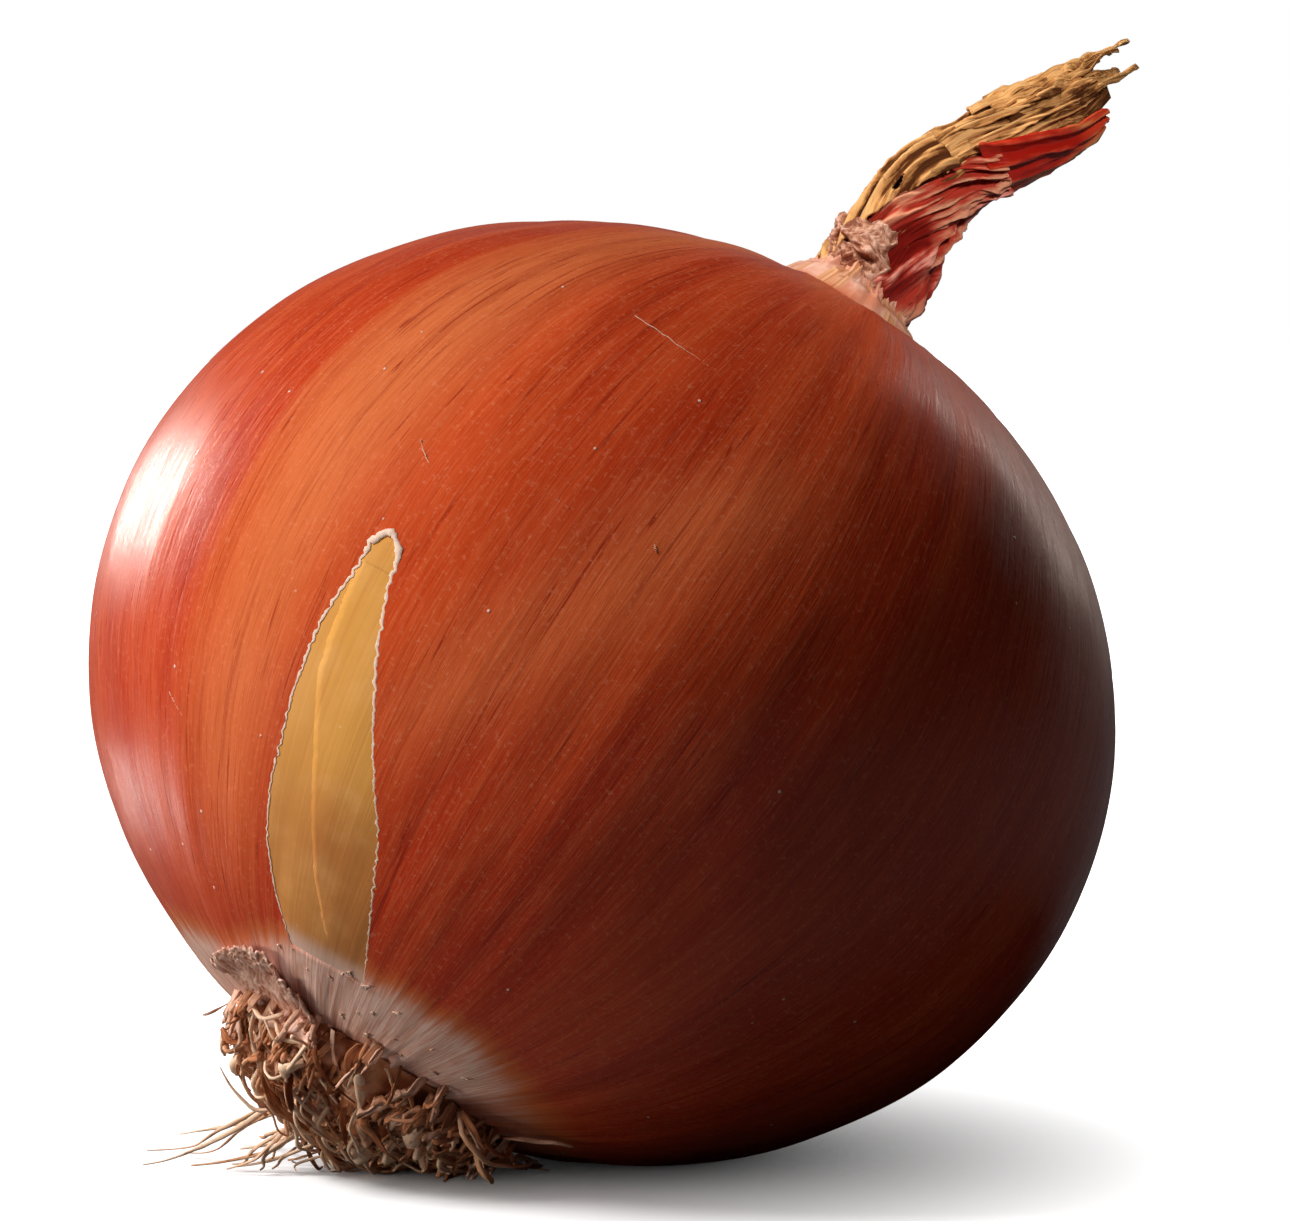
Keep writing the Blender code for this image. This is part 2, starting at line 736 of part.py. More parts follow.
def make_straw_neck(parts):
    """The dried leaf bases of the neck with their frayed ends in one body."""
    neck = new_object("straw_neck", mapped_ball("straw_neck", NECK_SEGMENTS, NECK_RINGS, neck_form), parts)
    straws = new_collection("straws")
    for index, (side, start, reach, width) in enumerate(STRAWS):
        place = straw_point(side, start, reach, width, NECK_SEED + STRAW_SEED_STEP * index)
        straw = thicken(
            new_object("straw", mapped_sheet("straw", 2, STRAW_ROWS, place), straws), STRAW_THICKNESS
        )
        bpy.context.view_layer.update()
        straw.data = evaluated_mesh(straw)
        straw.modifiers.clear()
    fuse(neck, straws)
    return neck


def leaf_point(u, v):
    """The red leaf: a fluted sheath round the lower side of the neck, then a tongue along it."""
    share = between(v, LEAF_START, LEAF_END)
    open_share = smooth((share - LEAF_START) / (LEAF_BEND - LEAF_START))
    near = between(open_share, LEAF_OPEN_SIDE_LOW, LEAF_OPEN_SIDE_HIGH)
    turned = smooth((share - LEAF_BEND) / LEAF_TURN_LENGTH + 0.5)
    far = between(turned, LEAF_HIDDEN_SIDE, LEAF_TONGUE_SIDE)
    turn = between(u, near, far)
    flutes = LEAF_FLUTE_DEPTH * sin(LEAF_FLUTES * pi * u + LEAF_FLUTE_SLANT * v)
    lobes = neck_value(NECK_RADII, share) * lobe_depth(share) + NECK_ROUGHNESS
    lift = lobes + GAP + LEAF_THICKNESS + LEAF_FLUTE_DEPTH + flutes
    lift += LEAF_KNEE * exp(-(((share - LEAF_BEND) / LEAF_KNEE_LENGTH) ** 2))
    at_end = v > 1.0 - 0.5 / LEAF_ROWS
    jag = LEAF_JAG * wobble(LEAF_JAGS * u, LEAF_JAG_SEED, 0.0) if at_end else 0.0
    return neck_point(share + jag, turn, lift, lobed=False)


def make_red_leaf(parts):
    sheet = mapped_sheet("red_neck_leaf", LEAF_COLUMNS, LEAF_ROWS, leaf_point)
    return thicken(new_object("red_neck_leaf", sheet, parts), LEAF_THICKNESS)


def main():
    clear_scene()
    parts = new_collection("onion")
    cutters = new_collection("cutters")
    skin = make_skin(parts)
    subtract(skin, tear_cutter(cutters))
    subtract(skin, rest_cutter(cutters))
    finish(skin, new_material("copper_skin", (0.42, 0.09, 0.025), 0.38))
    finish(make_bulb(parts), new_material("golden_scale", (0.60, 0.33, 0.09), 0.45))
    finish(make_roots(parts), new_material("root_brown", (0.33, 0.16, 0.07), 0.8))
    finish(make_remnant(parts), new_material("dead_scale", (0.42, 0.22, 0.17), 0.85))
    finish(make_straw_neck(parts), new_material("straw", (0.50, 0.32, 0.14), 0.75))
    finish(make_red_leaf(parts), new_material("crimson_leaf", (0.30, 0.05, 0.03), 0.4))


main()
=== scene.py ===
"""The looks of a brown onion: its fine pieces and finishes, the studio light and the camera.

Metres, +Z up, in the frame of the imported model. Angles round the bulb are written lon, and away is
the angle from the root end, both seen from the bulb's centre.
"""

from math import acos, atan2, cos, exp, hypot, pi, radians, sin, sqrt
from random import Random

import bpy
from mathutils import Matrix, Vector, noise


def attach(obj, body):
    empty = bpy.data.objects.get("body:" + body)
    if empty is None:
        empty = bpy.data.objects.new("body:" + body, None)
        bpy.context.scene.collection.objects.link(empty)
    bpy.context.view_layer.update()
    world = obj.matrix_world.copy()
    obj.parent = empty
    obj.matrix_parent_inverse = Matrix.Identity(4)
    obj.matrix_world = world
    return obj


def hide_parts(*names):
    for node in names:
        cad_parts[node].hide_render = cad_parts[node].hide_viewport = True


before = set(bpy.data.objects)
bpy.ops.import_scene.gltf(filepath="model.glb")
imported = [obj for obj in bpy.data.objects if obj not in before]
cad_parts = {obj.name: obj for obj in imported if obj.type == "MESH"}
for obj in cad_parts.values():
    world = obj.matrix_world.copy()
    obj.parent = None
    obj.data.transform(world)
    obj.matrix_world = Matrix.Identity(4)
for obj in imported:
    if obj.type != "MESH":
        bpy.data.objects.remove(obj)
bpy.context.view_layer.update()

FULL_TURN = 2.0 * pi


def in_radians(rows, columns):
    """The rows of a table with those columns turned from degrees to radians."""
    return [[radians(cell) if index in columns else cell for index, cell in enumerate(row)] for row in rows]


# The bulb, as in the part: a flattened ball whose growth axis leans further than its short axis
BULB_RADIUS = 0.0375
BULB_HALF_HEIGHT = 0.0335
SHORT_AXIS_LEAN = radians(23.0)
GROWTH_AXIS_LEAN = radians(37.5)
REST_DEPTH = 0.0003
ROOT_OPENING = radians(12.5)
NECK_OPENING = radians(7.6)
SHOULDER_START = radians(13.5)
SHOULDER_RISE = 0.0026
RIB_COUNT = 13
RIB_HEIGHT = 0.00012
RIB_EVEN_SHARE = 0.6
RIB_UNEVEN_PHASE = 1.3
RIB_BEND = 0.8
GAP = 0.0004

# The thin skin and what lies under it
SKIN_THICKNESS = 0.00006
GOLD_DEPTH = 0.00008
GOLD_DEPTH_FAR = 0.0006
STREAK_RELIEF = 0.00005

# The tear, in degrees: away from the root end, and its left and right edge
TEAR_EDGES = in_radians((
    (81.2, 217.6, 219.6), (80.0, 216.9, 220.7), (77.0, 216.8, 221.2), (70.5, 215.6, 223.6),
    (62.0, 215.4, 227.6), (57.0, 215.6, 230.3), (53.0, 215.3, 232.7), (45.5, 215.8, 235.3),
    (39.0, 218.0, 237.4), (33.0, 222.0, 239.3),
), (0, 1, 2))
TEAR_RAGGED = radians(0.22)
# The edge of an inner scale that shows as a fine line in the tear, as (away, lon) in degrees
INNER_LINE = in_radians((
    (78.0, 216.6), (66.0, 217.6), (58.0, 220.4), (52.0, 222.4), (44.0, 225.5), (36.0, 230.2),
    (31.0, 233.0),
), (0, 1))
# How far the pale root zone reaches, as (lon, away) in degrees
PALE_BORDER = in_radians((
    (0.0, 31.0), (60.0, 29.0), (130.0, 26.0), (197.0, 26.0), (216.0, 31.0), (226.0, 34.0),
    (241.0, 34.4), (258.0, 35.6), (270.0, 35.2), (290.0, 33.0), (310.0, 31.0), (360.0, 31.0),
), (0, 1))

# The basal plate, the roots and the dead scale, as in the part
PLATE_EDGE = radians(18.5)
PLATE_SHIFT = radians(4.9)
PLATE_SHIFT_SIDE = radians(292.0)
PLATE_RAGGED = 0.12
PLATE_RAGGED_TURNS = 4.0
PLATE_SEED = 2.0
PLATE_PLUG = radians(8.0)
PLATE_STEP = radians(2.0)
PLATE_HEIGHT = 0.0019
PLATE_FLATNESS = 3.0
PLATE_RIM = 0.0006
ROOT_RADIUS = 0.00042
ROOT_STEP = 0.0016
ROOT_SEED = 24
FREE_ROOTS = 46
FREE_ROOT_JITTER = 0.4
FREE_ROOT_START = (0.25, 1.0)
FREE_ROOT_LENGTH = (0.0040, 0.0080)
FREE_ROOT_LEAST_STEPS = 2
STUBS = 36
STUB_RADIUS = 0.00055
STUB_LENGTH = (0.0016, 0.0034)
STUB_SPREAD = 1.0
GOLDEN_TURN = radians(137.5)
ROOT_LIFT = 0.35
ROOT_FLARE = (-0.5, 0.1)
ROOT_PULL = 0.40
ROOT_GATHER = 0.18
ROOT_HUG = 0.56
CURL = 0.34
CURL_KEPT = 0.6

LONG_ROOT_POINTS = 9
LONG_ROOT_START = 0.45
LONG_ROOT_KNEE = 0.42
LONG_ROOT_LOW = 0.0010
LONG_ROOT_SWAY = 0.0020
LONG_ROOT_WAVES = 1.5
LONG_ROOT_OTHER_WAVE = 9.0
PHASES = 100.0
LONG_ROOT_TIPS = (
    (-0.0352, 0.0090), (-0.0330, 0.0142), (-0.0322, 0.0072), (-0.0304, 0.0048), (-0.0284, 0.0034),
    (-0.0262, 0.0020), (-0.0240, 0.0010), (-0.0215, -0.0008), (-0.0180, -0.0032),
    (-0.0146, -0.0044), (-0.0112, -0.0048), (-0.0088, -0.0040), (-0.0130, 0.0100),
    (-0.0235, 0.0160), (-0.0175, 0.0140), (-0.0285, 0.0195),
)
# A root that curls up off the surface, from inside the plate to its tip
RAISED_ROOT = (
    (-0.0257, 0.0010, 0.0060), (-0.0273, 0.0018, 0.0052), (-0.0289, 0.0025, 0.0049),
    (-0.0298, 0.0030, 0.0056), (-0.0306, 0.0036, 0.0067), (-0.0312, 0.0040, 0.0080),
)
CLEARING_STEPS = 60
CLEARING_STRIDE = 1.03

REMNANT_FROM = radians(22.3)
REMNANT_LEFT = radians(190.0)
REMNANT_RIGHT = radians(230.0)
REMNANT_THICKNESS = 0.0007
REMNANT_CURL = 0.0007
REMNANT_MARGIN = radians(2.0)

# The neck, as in the part: its centre line in the bulb's own axes and its radius at each point
NECK_LINE = (
    (0.0000, 0.0000, 0.0330), (-0.0003, 0.0001, 0.0365), (-0.0012, 0.0005, 0.0410),
    (-0.0014, 0.0004, 0.0450), (-0.0004, 0.0000, 0.0492), (0.0017, -0.0014, 0.0535),
    (0.0034, -0.0026, 0.0567), (0.0044, -0.0034, 0.0594),
)
NECK_RADII = (0.0032, 0.0033, 0.0037, 0.0036, 0.0032, 0.0028, 0.0023, 0.0015)
NECK_LOBES = 5
NECK_LOBE_DEPTH = 0.13
NECK_LOBE_DEPTH_LOW = 0.04
NECK_TWIST = radians(75.0)
# Where the straw ends and the red leaf begins, as (share of the neck's length, turn in degrees)
LEAF_BORDER = in_radians((
    (0.05, -200.0), (0.20, -168.0), (0.28, -147.0), (0.39, -124.0), (0.53, -101.0), (0.64, -89.0),
    (0.80, -72.0), (1.00, -65.0),
), (1,))

# The photograph's frame, and the pixel that the bulb's centre lies on
IMAGE_WIDTH = 1289
IMAGE_HEIGHT = 1221
CENTRE_PIXEL_ACROSS = 602.0
CENTRE_PIXEL_DOWN = 693.0
CAMERA_AZIMUTH = radians(-26.0)
CAMERA_ELEVATION = radians(4.0)
CAMERA_DISTANCE = 0.3503
CAMERA_LENS = 135.0
CAMERA_SENSOR = 36.0

# Below this the rounding of a length is ignored
WELD = 1e-7

UP = Vector((0.0, 0.0, 1.0))
SHORT_AXIS = Vector((sin(SHORT_AXIS_LEAN), 0.0, cos(SHORT_AXIS_LEAN)))
GROWTH_AXIS = Vector((sin(GROWTH_AXIS_LEAN), 0.0, cos(GROWTH_AXIS_LEAN)))
SIDE_AXIS = Vector((cos(GROWTH_AXIS_LEAN), 0.0, -sin(GROWTH_AXIS_LEAN)))
ACROSS_AXIS = Vector((0.0, 1.0, 0.0))


def bulb_centre():
    """The ball's centre when its lowest point lies REST_DEPTH under the origin."""
    rise = hypot(BULB_RADIUS * sin(SHORT_AXIS_LEAN), BULB_HALF_HEIGHT * cos(SHORT_AXIS_LEAN))
    squash = BULB_RADIUS**2 - BULB_HALF_HEIGHT**2
    offset = squash * sin(SHORT_AXIS_LEAN) * cos(SHORT_AXIS_LEAN) / rise
    return Vector((-offset, 0.0, rise - REST_DEPTH))


CENTRE = bulb_centre()


def smooth(value):
    """0 to 1 with flat ends."""
    value = min(max(value, 0.0), 1.0)
    return value * value * (3.0 - 2.0 * value)


def rises(angle, start, run):
    """0 before a start in degrees and 1 past its run."""
    return smooth((angle - radians(start)) / radians(run))


def falls(angle, end, run):
    """1 until a run before its end in degrees and 0 past it."""
    return smooth((radians(end) - angle) / radians(run))


def bell(value):
    """1 in the middle, fading out to both sides."""
    return exp(-(value**2))


def between(value, low, high):
    return low + (high - low) * value


def wobble(*seeds):
    """A smooth repeatable value from about -1 to 1."""
    return 2.0 * noise.noise(Vector(seeds))


def round_wobble(waves, turn, along):
    """The same at an angle, closing on itself, with that many waves and a place along."""
    return wobble(waves * cos(turn), waves * sin(turn), along)


def right_side(turn, degrees):
    """1 on the side that faces the right, turned by some degrees, to 0 on the other."""
    return smooth(0.5 + 0.5 * cos(turn + radians(degrees)))


def along_table(table, value, column=1):
    """A value read off a table of rows whose first numbers run up or down, by straight lines."""
    rows = table if table[0][0] < table[-1][0] else table[::-1]
    if value <= rows[0][0]:
        return rows[0][column]
    for before, after in zip(rows, rows[1:]):
        if value <= after[0]:
            part = (value - before[0]) / (after[0] - before[0])
            return between(part, before[column], after[column])
    return rows[-1][column]


def bulb_axes(x, y, z):
    """A point given in the bulb's own axes, z being the growth axis."""
    return CENTRE + SIDE_AXIS * x + ACROSS_AXIS * y + GROWTH_AXIS * z


def direction(lon, away):
    outward = SIDE_AXIS * cos(lon) + ACROSS_AXIS * sin(lon)
    return outward * sin(away) - GROWTH_AXIS * cos(away)


def angles_of(place):
    """The lon, the angle from the root end and the distance of a place from the centre."""
    offset = place - CENTRE
    distance = offset.length
    away = acos(max(-1.0, min(1.0, -offset.dot(GROWTH_AXIS) / distance)))
    return atan2(offset.dot(ACROSS_AXIS), offset.dot(SIDE_AXIS)), away, distance


def ball_radius(way):
    along = way.dot(SHORT_AXIS)
    return 1.0 / hypot(sqrt(max(0.0, 1.0 - along * along)) / BULB_RADIUS, along / BULB_HALF_HEIGHT)


def ribs(lon, away):
    """Low uneven ribs from root to neck, which fade out at both ends."""
    uneven = between(sin(2.0 * lon + RIB_UNEVEN_PHASE), RIB_EVEN_SHARE, 1.0)
    return RIB_HEIGHT * uneven * sin(RIB_COUNT * lon + RIB_BEND * sin(away)) * sin(away) ** 2


def shoulder(away):
    from_neck = pi - away
    return SHOULDER_RISE * smooth((SHOULDER_START - from_neck) / (SHOULDER_START - NECK_OPENING))


def skin_radius(lon, away):
    return ball_radius(direction(lon, away)) + ribs(lon, away) + shoulder(away)


def skin_point(lon, away, lift=0.0):
    """A point over the outside of the skin, by lift."""
    return CENTRE + direction(lon, away) * (skin_radius(lon, away) + lift)


def neck_value(values, share):
    """A smooth value at a share of 0 to 1 along a row of values, by a curve through them."""
    spot = share * (len(values) - 1)
    index = min(int(spot), len(values) - 2)
    part = spot - index
    before = values[max(index - 1, 0)]
    start = values[index]
    end = values[index + 1]
    after = values[min(index + 2, len(values) - 1)]
    slope_in = (end - before) * 0.5
    slope_out = (after - start) * 0.5
    turn = start * 2.0 - end * 2.0 + slope_in + slope_out
    bow = end * 3.0 - start * 3.0 - slope_in * 2.0 - slope_out
    return start + slope_in * part + bow * part**2 + turn * part**3


NECK_POINTS = [bulb_axes(*point) for point in NECK_LINE]


def neck_frame(share):
    """The centre of the neck at a share of its length, the two directions across it and its run."""
    share = min(max(share, 0.0), 1.0)
    step = 0.01
    centre = neck_value(NECK_POINTS, share)
    ahead = neck_value(NECK_POINTS, min(share + step, 1.0))
    behind = neck_value(NECK_POINTS, max(share - step, 0.0))
    along = (ahead - behind).normalized()
    side = (SIDE_AXIS - along * SIDE_AXIS.dot(along)).normalized()
    return centre, side, along.cross(side), along


def neck_point(share, turn, lift=0.0):
    """A point over the neck's plain round surface, by lift."""
    centre, side, across, _ = neck_frame(share)
    return centre + (side * cos(turn) + across * sin(turn)) * (neck_value(NECK_RADII, share) + lift)


class Shape:
    """Points and faces gathered from several grids.

    Each point is (place, fibre, tint): the fibre is where it lies along and across the grain, and
    the tint three numbers that the finish reads.
    """

    def __init__(self):
        self.points = []
        self.faces = []

    def grid(self, rows, wrap=False, keep=None):
        """Adds rows of points as quads, leaving out those that keep refuses."""
        first = len(self.points)
        columns = len(rows[0])
        for row in rows:
            self.points += row
        for row in range(len(rows) - 1):
            for column in range(columns if wrap else columns - 1):
                if keep and not keep(row, column):
                    continue
                following = (column + 1) % columns
                low = first + row * columns
                high = low + columns
                self.faces.append((low + column, low + following, high + following, high + column))

    def closed(self, rows, low, high):
        """Adds rings of points and a fan at both ends, to the points low and high."""
        first = len(self.points)
        size = len(rows[0])
        self.grid(rows, wrap=True)
        last = len(self.points) - size
        for ring, end in ((first, low), (last, high)):
            tip = len(self.points)
            self.points.append(end)
            for index in range(size):
                corner = (ring + index, ring + (index + 1) % size, tip)
                self.faces.append(corner[::-1] if end is low else corner)

    def mesh(self, name):
        used = sorted({index for face in self.faces for index in face})
        place_of = {index: spot for spot, index in enumerate(used)}
        mesh = bpy.data.meshes.new(name)
        faces = [[place_of[index] for index in face] for face in self.faces]
        places, fibres, tints = zip(*[self.points[index] for index in used])
        for place in places:
            place.z = max(place.z, 0.0)
        mesh.from_pydata(places, [], faces)
        for label, values in (("fibre", fibres), ("tint", tints)):
            layer = mesh.attributes.new(label, "FLOAT_VECTOR", "POINT")
            layer.data.foreach_set("vector", [number for value in values for number in value])
        mesh.shade_smooth()
        return mesh


def put(name, shape, material, node, slot, thickness=0.0):
    """Makes a piece of a shape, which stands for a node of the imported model."""
    obj = bpy.data.objects.new(name, shape.mesh(name))
    bpy.context.scene.collection.objects.link(obj)
    obj.data.materials.append(material)
    if thickness:
        modifier = obj.modifiers.new("thickness", "SOLIDIFY")
        modifier.thickness = thickness
        modifier.offset = -1.0
    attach(obj, "root")
    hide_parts(node)


def put_sheet(name, columns, rows, place, *looks):
    """Makes a piece of one sheet."""
    shape = Shape()
    shape.grid(sheet_rows(columns, rows, place))
    put(name, shape, *looks)


def sheet_rows(columns, rows, place):
    """The rows of a grid, place(u, v) giving each point with its fibre and tint."""
    return [[place(u / columns, v / rows) for u in range(columns + 1)] for v in range(rows + 1)]


def ring_rows(columns, steps, place):
    """The same for a grid that closes on itself, by place(turn, step)."""
    turns = [FULL_TURN * column / columns for column in range(columns)]
    return [[place(turn, step) for turn in turns] for step in steps]


def tube_rows(points, radii, sides, flat, seed, tone):
    """Rings round a line of points, flattened by flat and turning slowly, for a root or a fibre."""
    rows = []
    across = Vector((0.0, 0.0, 1.0)).cross(points[1] - points[0])
    if across.length < 1e-9:
        across = Vector((1.0, 0.0, 0.0))
    length = 0.0
    for index, place in enumerate(points):
        ahead = points[min(index + 1, len(points) - 1)]
        behind = points[max(index - 1, 0)]
        along = (ahead - behind).normalized()
        across = (across - along * across.dot(along)).normalized()
        other = along.cross(across)
        length += (place - behind).length
        twist = 2.0 * wobble(seed, 140.0 * length, 3.0)
        row = []
        for side in range(sides):
            turn = FULL_TURN * side / sides
            rough = 1.0 + 0.16 * wobble(seed + cos(turn), sin(turn) + 7.0, 900.0 * length)
            x = radii[index] * rough * cos(turn)
            y = radii[index] * rough * sin(turn) * flat
            spot = place + across * (x * cos(twist) - y * sin(twist))
            spot = spot + other * (x * sin(twist) + y * cos(twist))
            fibre = (cos(turn), sin(turn) + seed, length / 0.001)
            row.append((spot, fibre, (tone, 0.5, index / len(points))))
        rows.append(row)
    return rows


def curve_through(points, count):
    """Evenly many points on a smooth curve through a few."""
    return [neck_value(points, index / (count - 1)) for index in range(count)]


# Finishes


def new_tree(name):
    """A material with its principled shader and its node tree."""
    material = bpy.data.materials.new(name)
    material.use_nodes = True
    tree = material.node_tree
    return material, tree, tree.nodes["Principled BSDF"]


def node(tree, kind, joined, **settings):
    """Adds a node, its settings and its inputs, each a socket to join or a value."""
    made = tree.nodes.new(kind)
    for key, value in settings.items():
        setattr(made, key, value)
    for key, value in joined.items():
        if isinstance(value, bpy.types.NodeSocket):
            tree.links.new(value, made.inputs[key])
        else:
            made.inputs[key].default_value = value
    return made


def calc(tree, operation, *values):
    joined = dict(enumerate(values))
    return node(tree, "ShaderNodeMath", joined, operation=operation).outputs[0]


def times(tree, first, second):
    return calc(tree, "MULTIPLY", first, second)


def plus(tree, first, second):
    return calc(tree, "ADD", first, second)


def mask(tree, value, low, high):
    """0 at low, 1 at high, smooth between."""
    joined = {"Value": value, "From Min": low, "From Max": high}
    return node(tree, "ShaderNodeMapRange", joined, interpolation_type="SMOOTHSTEP").outputs[0]


def mix(tree, factor, first, second, blend="MIX"):
    joined = {0: factor, 6: first, 7: second}
    return node(tree, "ShaderNodeMix", joined, data_type="RGBA", blend_type=blend).outputs[2]


def read(tree, label):
    return node(tree, "ShaderNodeAttribute", {}, attribute_name=label).outputs["Vector"]


def split(tree, vector):
    return node(tree, "ShaderNodeSeparateXYZ", {0: vector}).outputs


def stretched(tree, vector, x, y, z):
    """The vector scaled apart in each direction."""
    return node(tree, "ShaderNodeVectorMath", {0: vector, 1: (x, y, z)}, operation="MULTIPLY").outputs[0]


def grain(tree, vector, scale, detail=4.0, roughness=0.55, distortion=0.0):
    joined = {
        "Vector": vector,
        "Scale": scale,
        "Detail": detail,
        "Roughness": roughness,
        "Distortion": distortion,
    }
    return node(tree, "ShaderNodeTexNoise", joined).outputs["Fac"]


def along_fibre(tree, fibre, stretch, *looks):
    """Grain drawn out along the fibres."""
    return grain(tree, stretched(tree, fibre, *stretch), 1.0, *looks)


def specks(tree, vector, scale, size, share):
    """1 in small round dots of that size in a share of the cells, 0 elsewhere."""
    cells = node(tree, "ShaderNodeTexVoronoi", {"Vector": vector, "Scale": scale})
    chosen = calc(tree, "LESS_THAN", split(tree, cells.outputs["Color"])[0], share)
    return times(tree, mask(tree, cells.outputs["Distance"], size, size * 0.4), chosen)


def bump(tree, height, depth, strength=1.0, under=None):
    joined = {"Height": height, "Distance": depth, "Strength": strength}
    if under is not None:
        joined["Normal"] = under
    return node(tree, "ShaderNodeBump", joined).outputs[0]


def spread(tree, value, low, high):
    """A value of 0 to 1 brought between two others."""
    joined = {"Value": value, "To Min": low, "To Max": high}
    return node(tree, "ShaderNodeMapRange", joined).outputs[0]


def finish(tree, shader, base, rough, specular, *layers):
    """Joins the shader to its colour, roughness and relief, each layer (height, depth, strength)."""
    tree.links.new(base, shader.inputs["Base Color"])
    tree.links.new(rough, shader.inputs["Roughness"])
    if specular:
        shader.inputs["Specular IOR Level"].default_value = specular
    relief = None
    for height, depth, strength in layers:
        relief = bump(tree, height, depth, strength, relief)
    tree.links.new(relief, shader.inputs["Normal"])


def colour(red, green, blue):
    return (red, green, blue, 1.0)


def over(tree, base, share, strength, *tone):
    """The base with a tone laid over it by a share times a strength."""
    return mix(tree, times(tree, share, strength), base, colour(*tone))


def place_of(tree):
    """Where a point lies on the object, in metres."""
    return node(tree, "ShaderNodeTexCoord", {}).outputs["Object"]


def skin_finish():
    """Copper skin with streaks from root to neck, a pale root zone and a straw-coloured collar."""
    material, tree, shader = new_tree("copper_skin")
    fibre = read(tree, "fibre")
    tint = split(tree, read(tree, "tint"))
    spot = place_of(tree)
    broad = along_fibre(tree, fibre, (5.0, 5.0, 0.9), 3.0)
    streak = along_fibre(tree, fibre, (28.0, 28.0, 1.1), 5.0, 0.6, 0.3)
    line = along_fibre(tree, fibre, (34.0, 34.0, 0.8), 2.0, 0.5, 0.3)
    fine = along_fibre(tree, fibre, (150.0, 150.0, 9.0), 3.0, 0.6, 0.6)
    mottle = grain(tree, spot, 260.0, 4.0, 0.6)
    threads = along_fibre(tree, fibre, (330.0, 330.0, 16.0), 2.0, 0.5, 0.5)
    pores = grain(tree, spot, 2600.0, 3.0, 0.7)
    base = mix(tree, mask(tree, broad, 0.34, 0.66), colour(0.48, 0.032, 0.006), colour(0.60, 0.066, 0.014))
    # The lighter band and patches beside the tear: partly the skin's own colour, partly painted light where
    # the key light falls
    base = mix(tree, tint[2], base, colour(0.72, 0.17, 0.052))
    halo = times(tree, mask(tree, streak, 0.52, 0.70), 0.35)
    base = mix(tree, halo, base, colour(0.68, 0.120, 0.030))
    dark = times(tree, mask(tree, streak, 0.47, 0.32), 0.35)
    base = mix(tree, dark, base, colour(0.36, 0.024, 0.006))
    thin = calc(tree, "ABSOLUTE", calc(tree, "SUBTRACT", line, 0.5))
    thin = times(tree, mask(tree, thin, 0.012, 0.003), mask(tree, streak, 0.60, 0.42))
    base = over(tree, base, thin, 0.70, 0.26, 0.012, 0.004)
    base = over(tree, base, mask(tree, fine, 0.45, 0.75), 0.20, 0.84, 0.24, 0.10)
    base = over(tree, base, mask(tree, fine, 0.48, 0.25), 0.24, 0.36, 0.028, 0.007)
    base = over(tree, base, mask(tree, mottle, 0.55, 0.8), 0.20, 0.74, 0.16, 0.06)

    base = over(tree, base, mask(tree, threads, 0.54, 0.72), 0.20, 0.82, 0.22, 0.09)
    base = over(tree, base, mask(tree, threads, 0.46, 0.28), 0.26, 0.32, 0.022, 0.006)
    base = over(tree, base, mask(tree, pores, 0.54, 0.72), 0.26, 0.88, 0.32, 0.17)

    # The pale root zone, its border drawn out along the fibres
    edge = times(tree, calc(tree, "SUBTRACT", streak, 0.5), 0.65)
    edge = times(tree, edge, mask(tree, tint[0], 0.0, 0.2))
    edge = plus(tree, tint[0], edge)
    amber = times(tree, mask(tree, edge, 0.08, 0.40), 0.65)
    base = mix(tree, amber, base, colour(0.68, 0.19, 0.05))
    pale = mix(tree, mask(tree, fine, 0.32, 0.66), colour(0.74, 0.38, 0.28), colour(0.96, 0.72, 0.63))
    spots = times(tree, mask(tree, mottle, 0.58, 0.72), 0.35)
    pale = mix(tree, spots, pale, colour(0.66, 0.25, 0.13))
    base = mix(tree, times(tree, mask(tree, edge, 0.30, 0.80), 0.94), base, pale)

    # The collar round the neck
    straw = mix(tree, mask(tree, streak, 0.35, 0.65), colour(0.56, 0.20, 0.07), colour(0.84, 0.45, 0.24))
    rosy = mix(tree, mask(tree, mottle, 0.40, 0.65), colour(0.70, 0.25, 0.14), colour(0.90, 0.54, 0.40))
    straw = mix(tree, mask(tree, broad, 0.40, 0.60), straw, rosy)
    collar = plus(tree, tint[1], times(tree, edge, 0.1))
    base = mix(tree, mask(tree, collar, 0.3, 0.6), base, straw)

    dots = specks(tree, spot, 640.0, 0.11, 0.10)
    base = over(tree, base, dots, 0.75, 0.95, 0.72, 0.60)
    sheen = plus(tree, mask(tree, fine, 0.2, 0.8), times(tree, tint[0], 0.6))
    finish(
        tree, shader, base, spread(tree, sheen, 0.24, 0.46), 0.42,
        (fine, 0.00005, 0.5), (threads, 0.000025, 0.35), (pores, 0.00003, 0.3),
        (streak, 0.00010, 0.4), (mottle, 0.00006, 0.5), (dots, 0.00008, 0.8),
    )
    return material


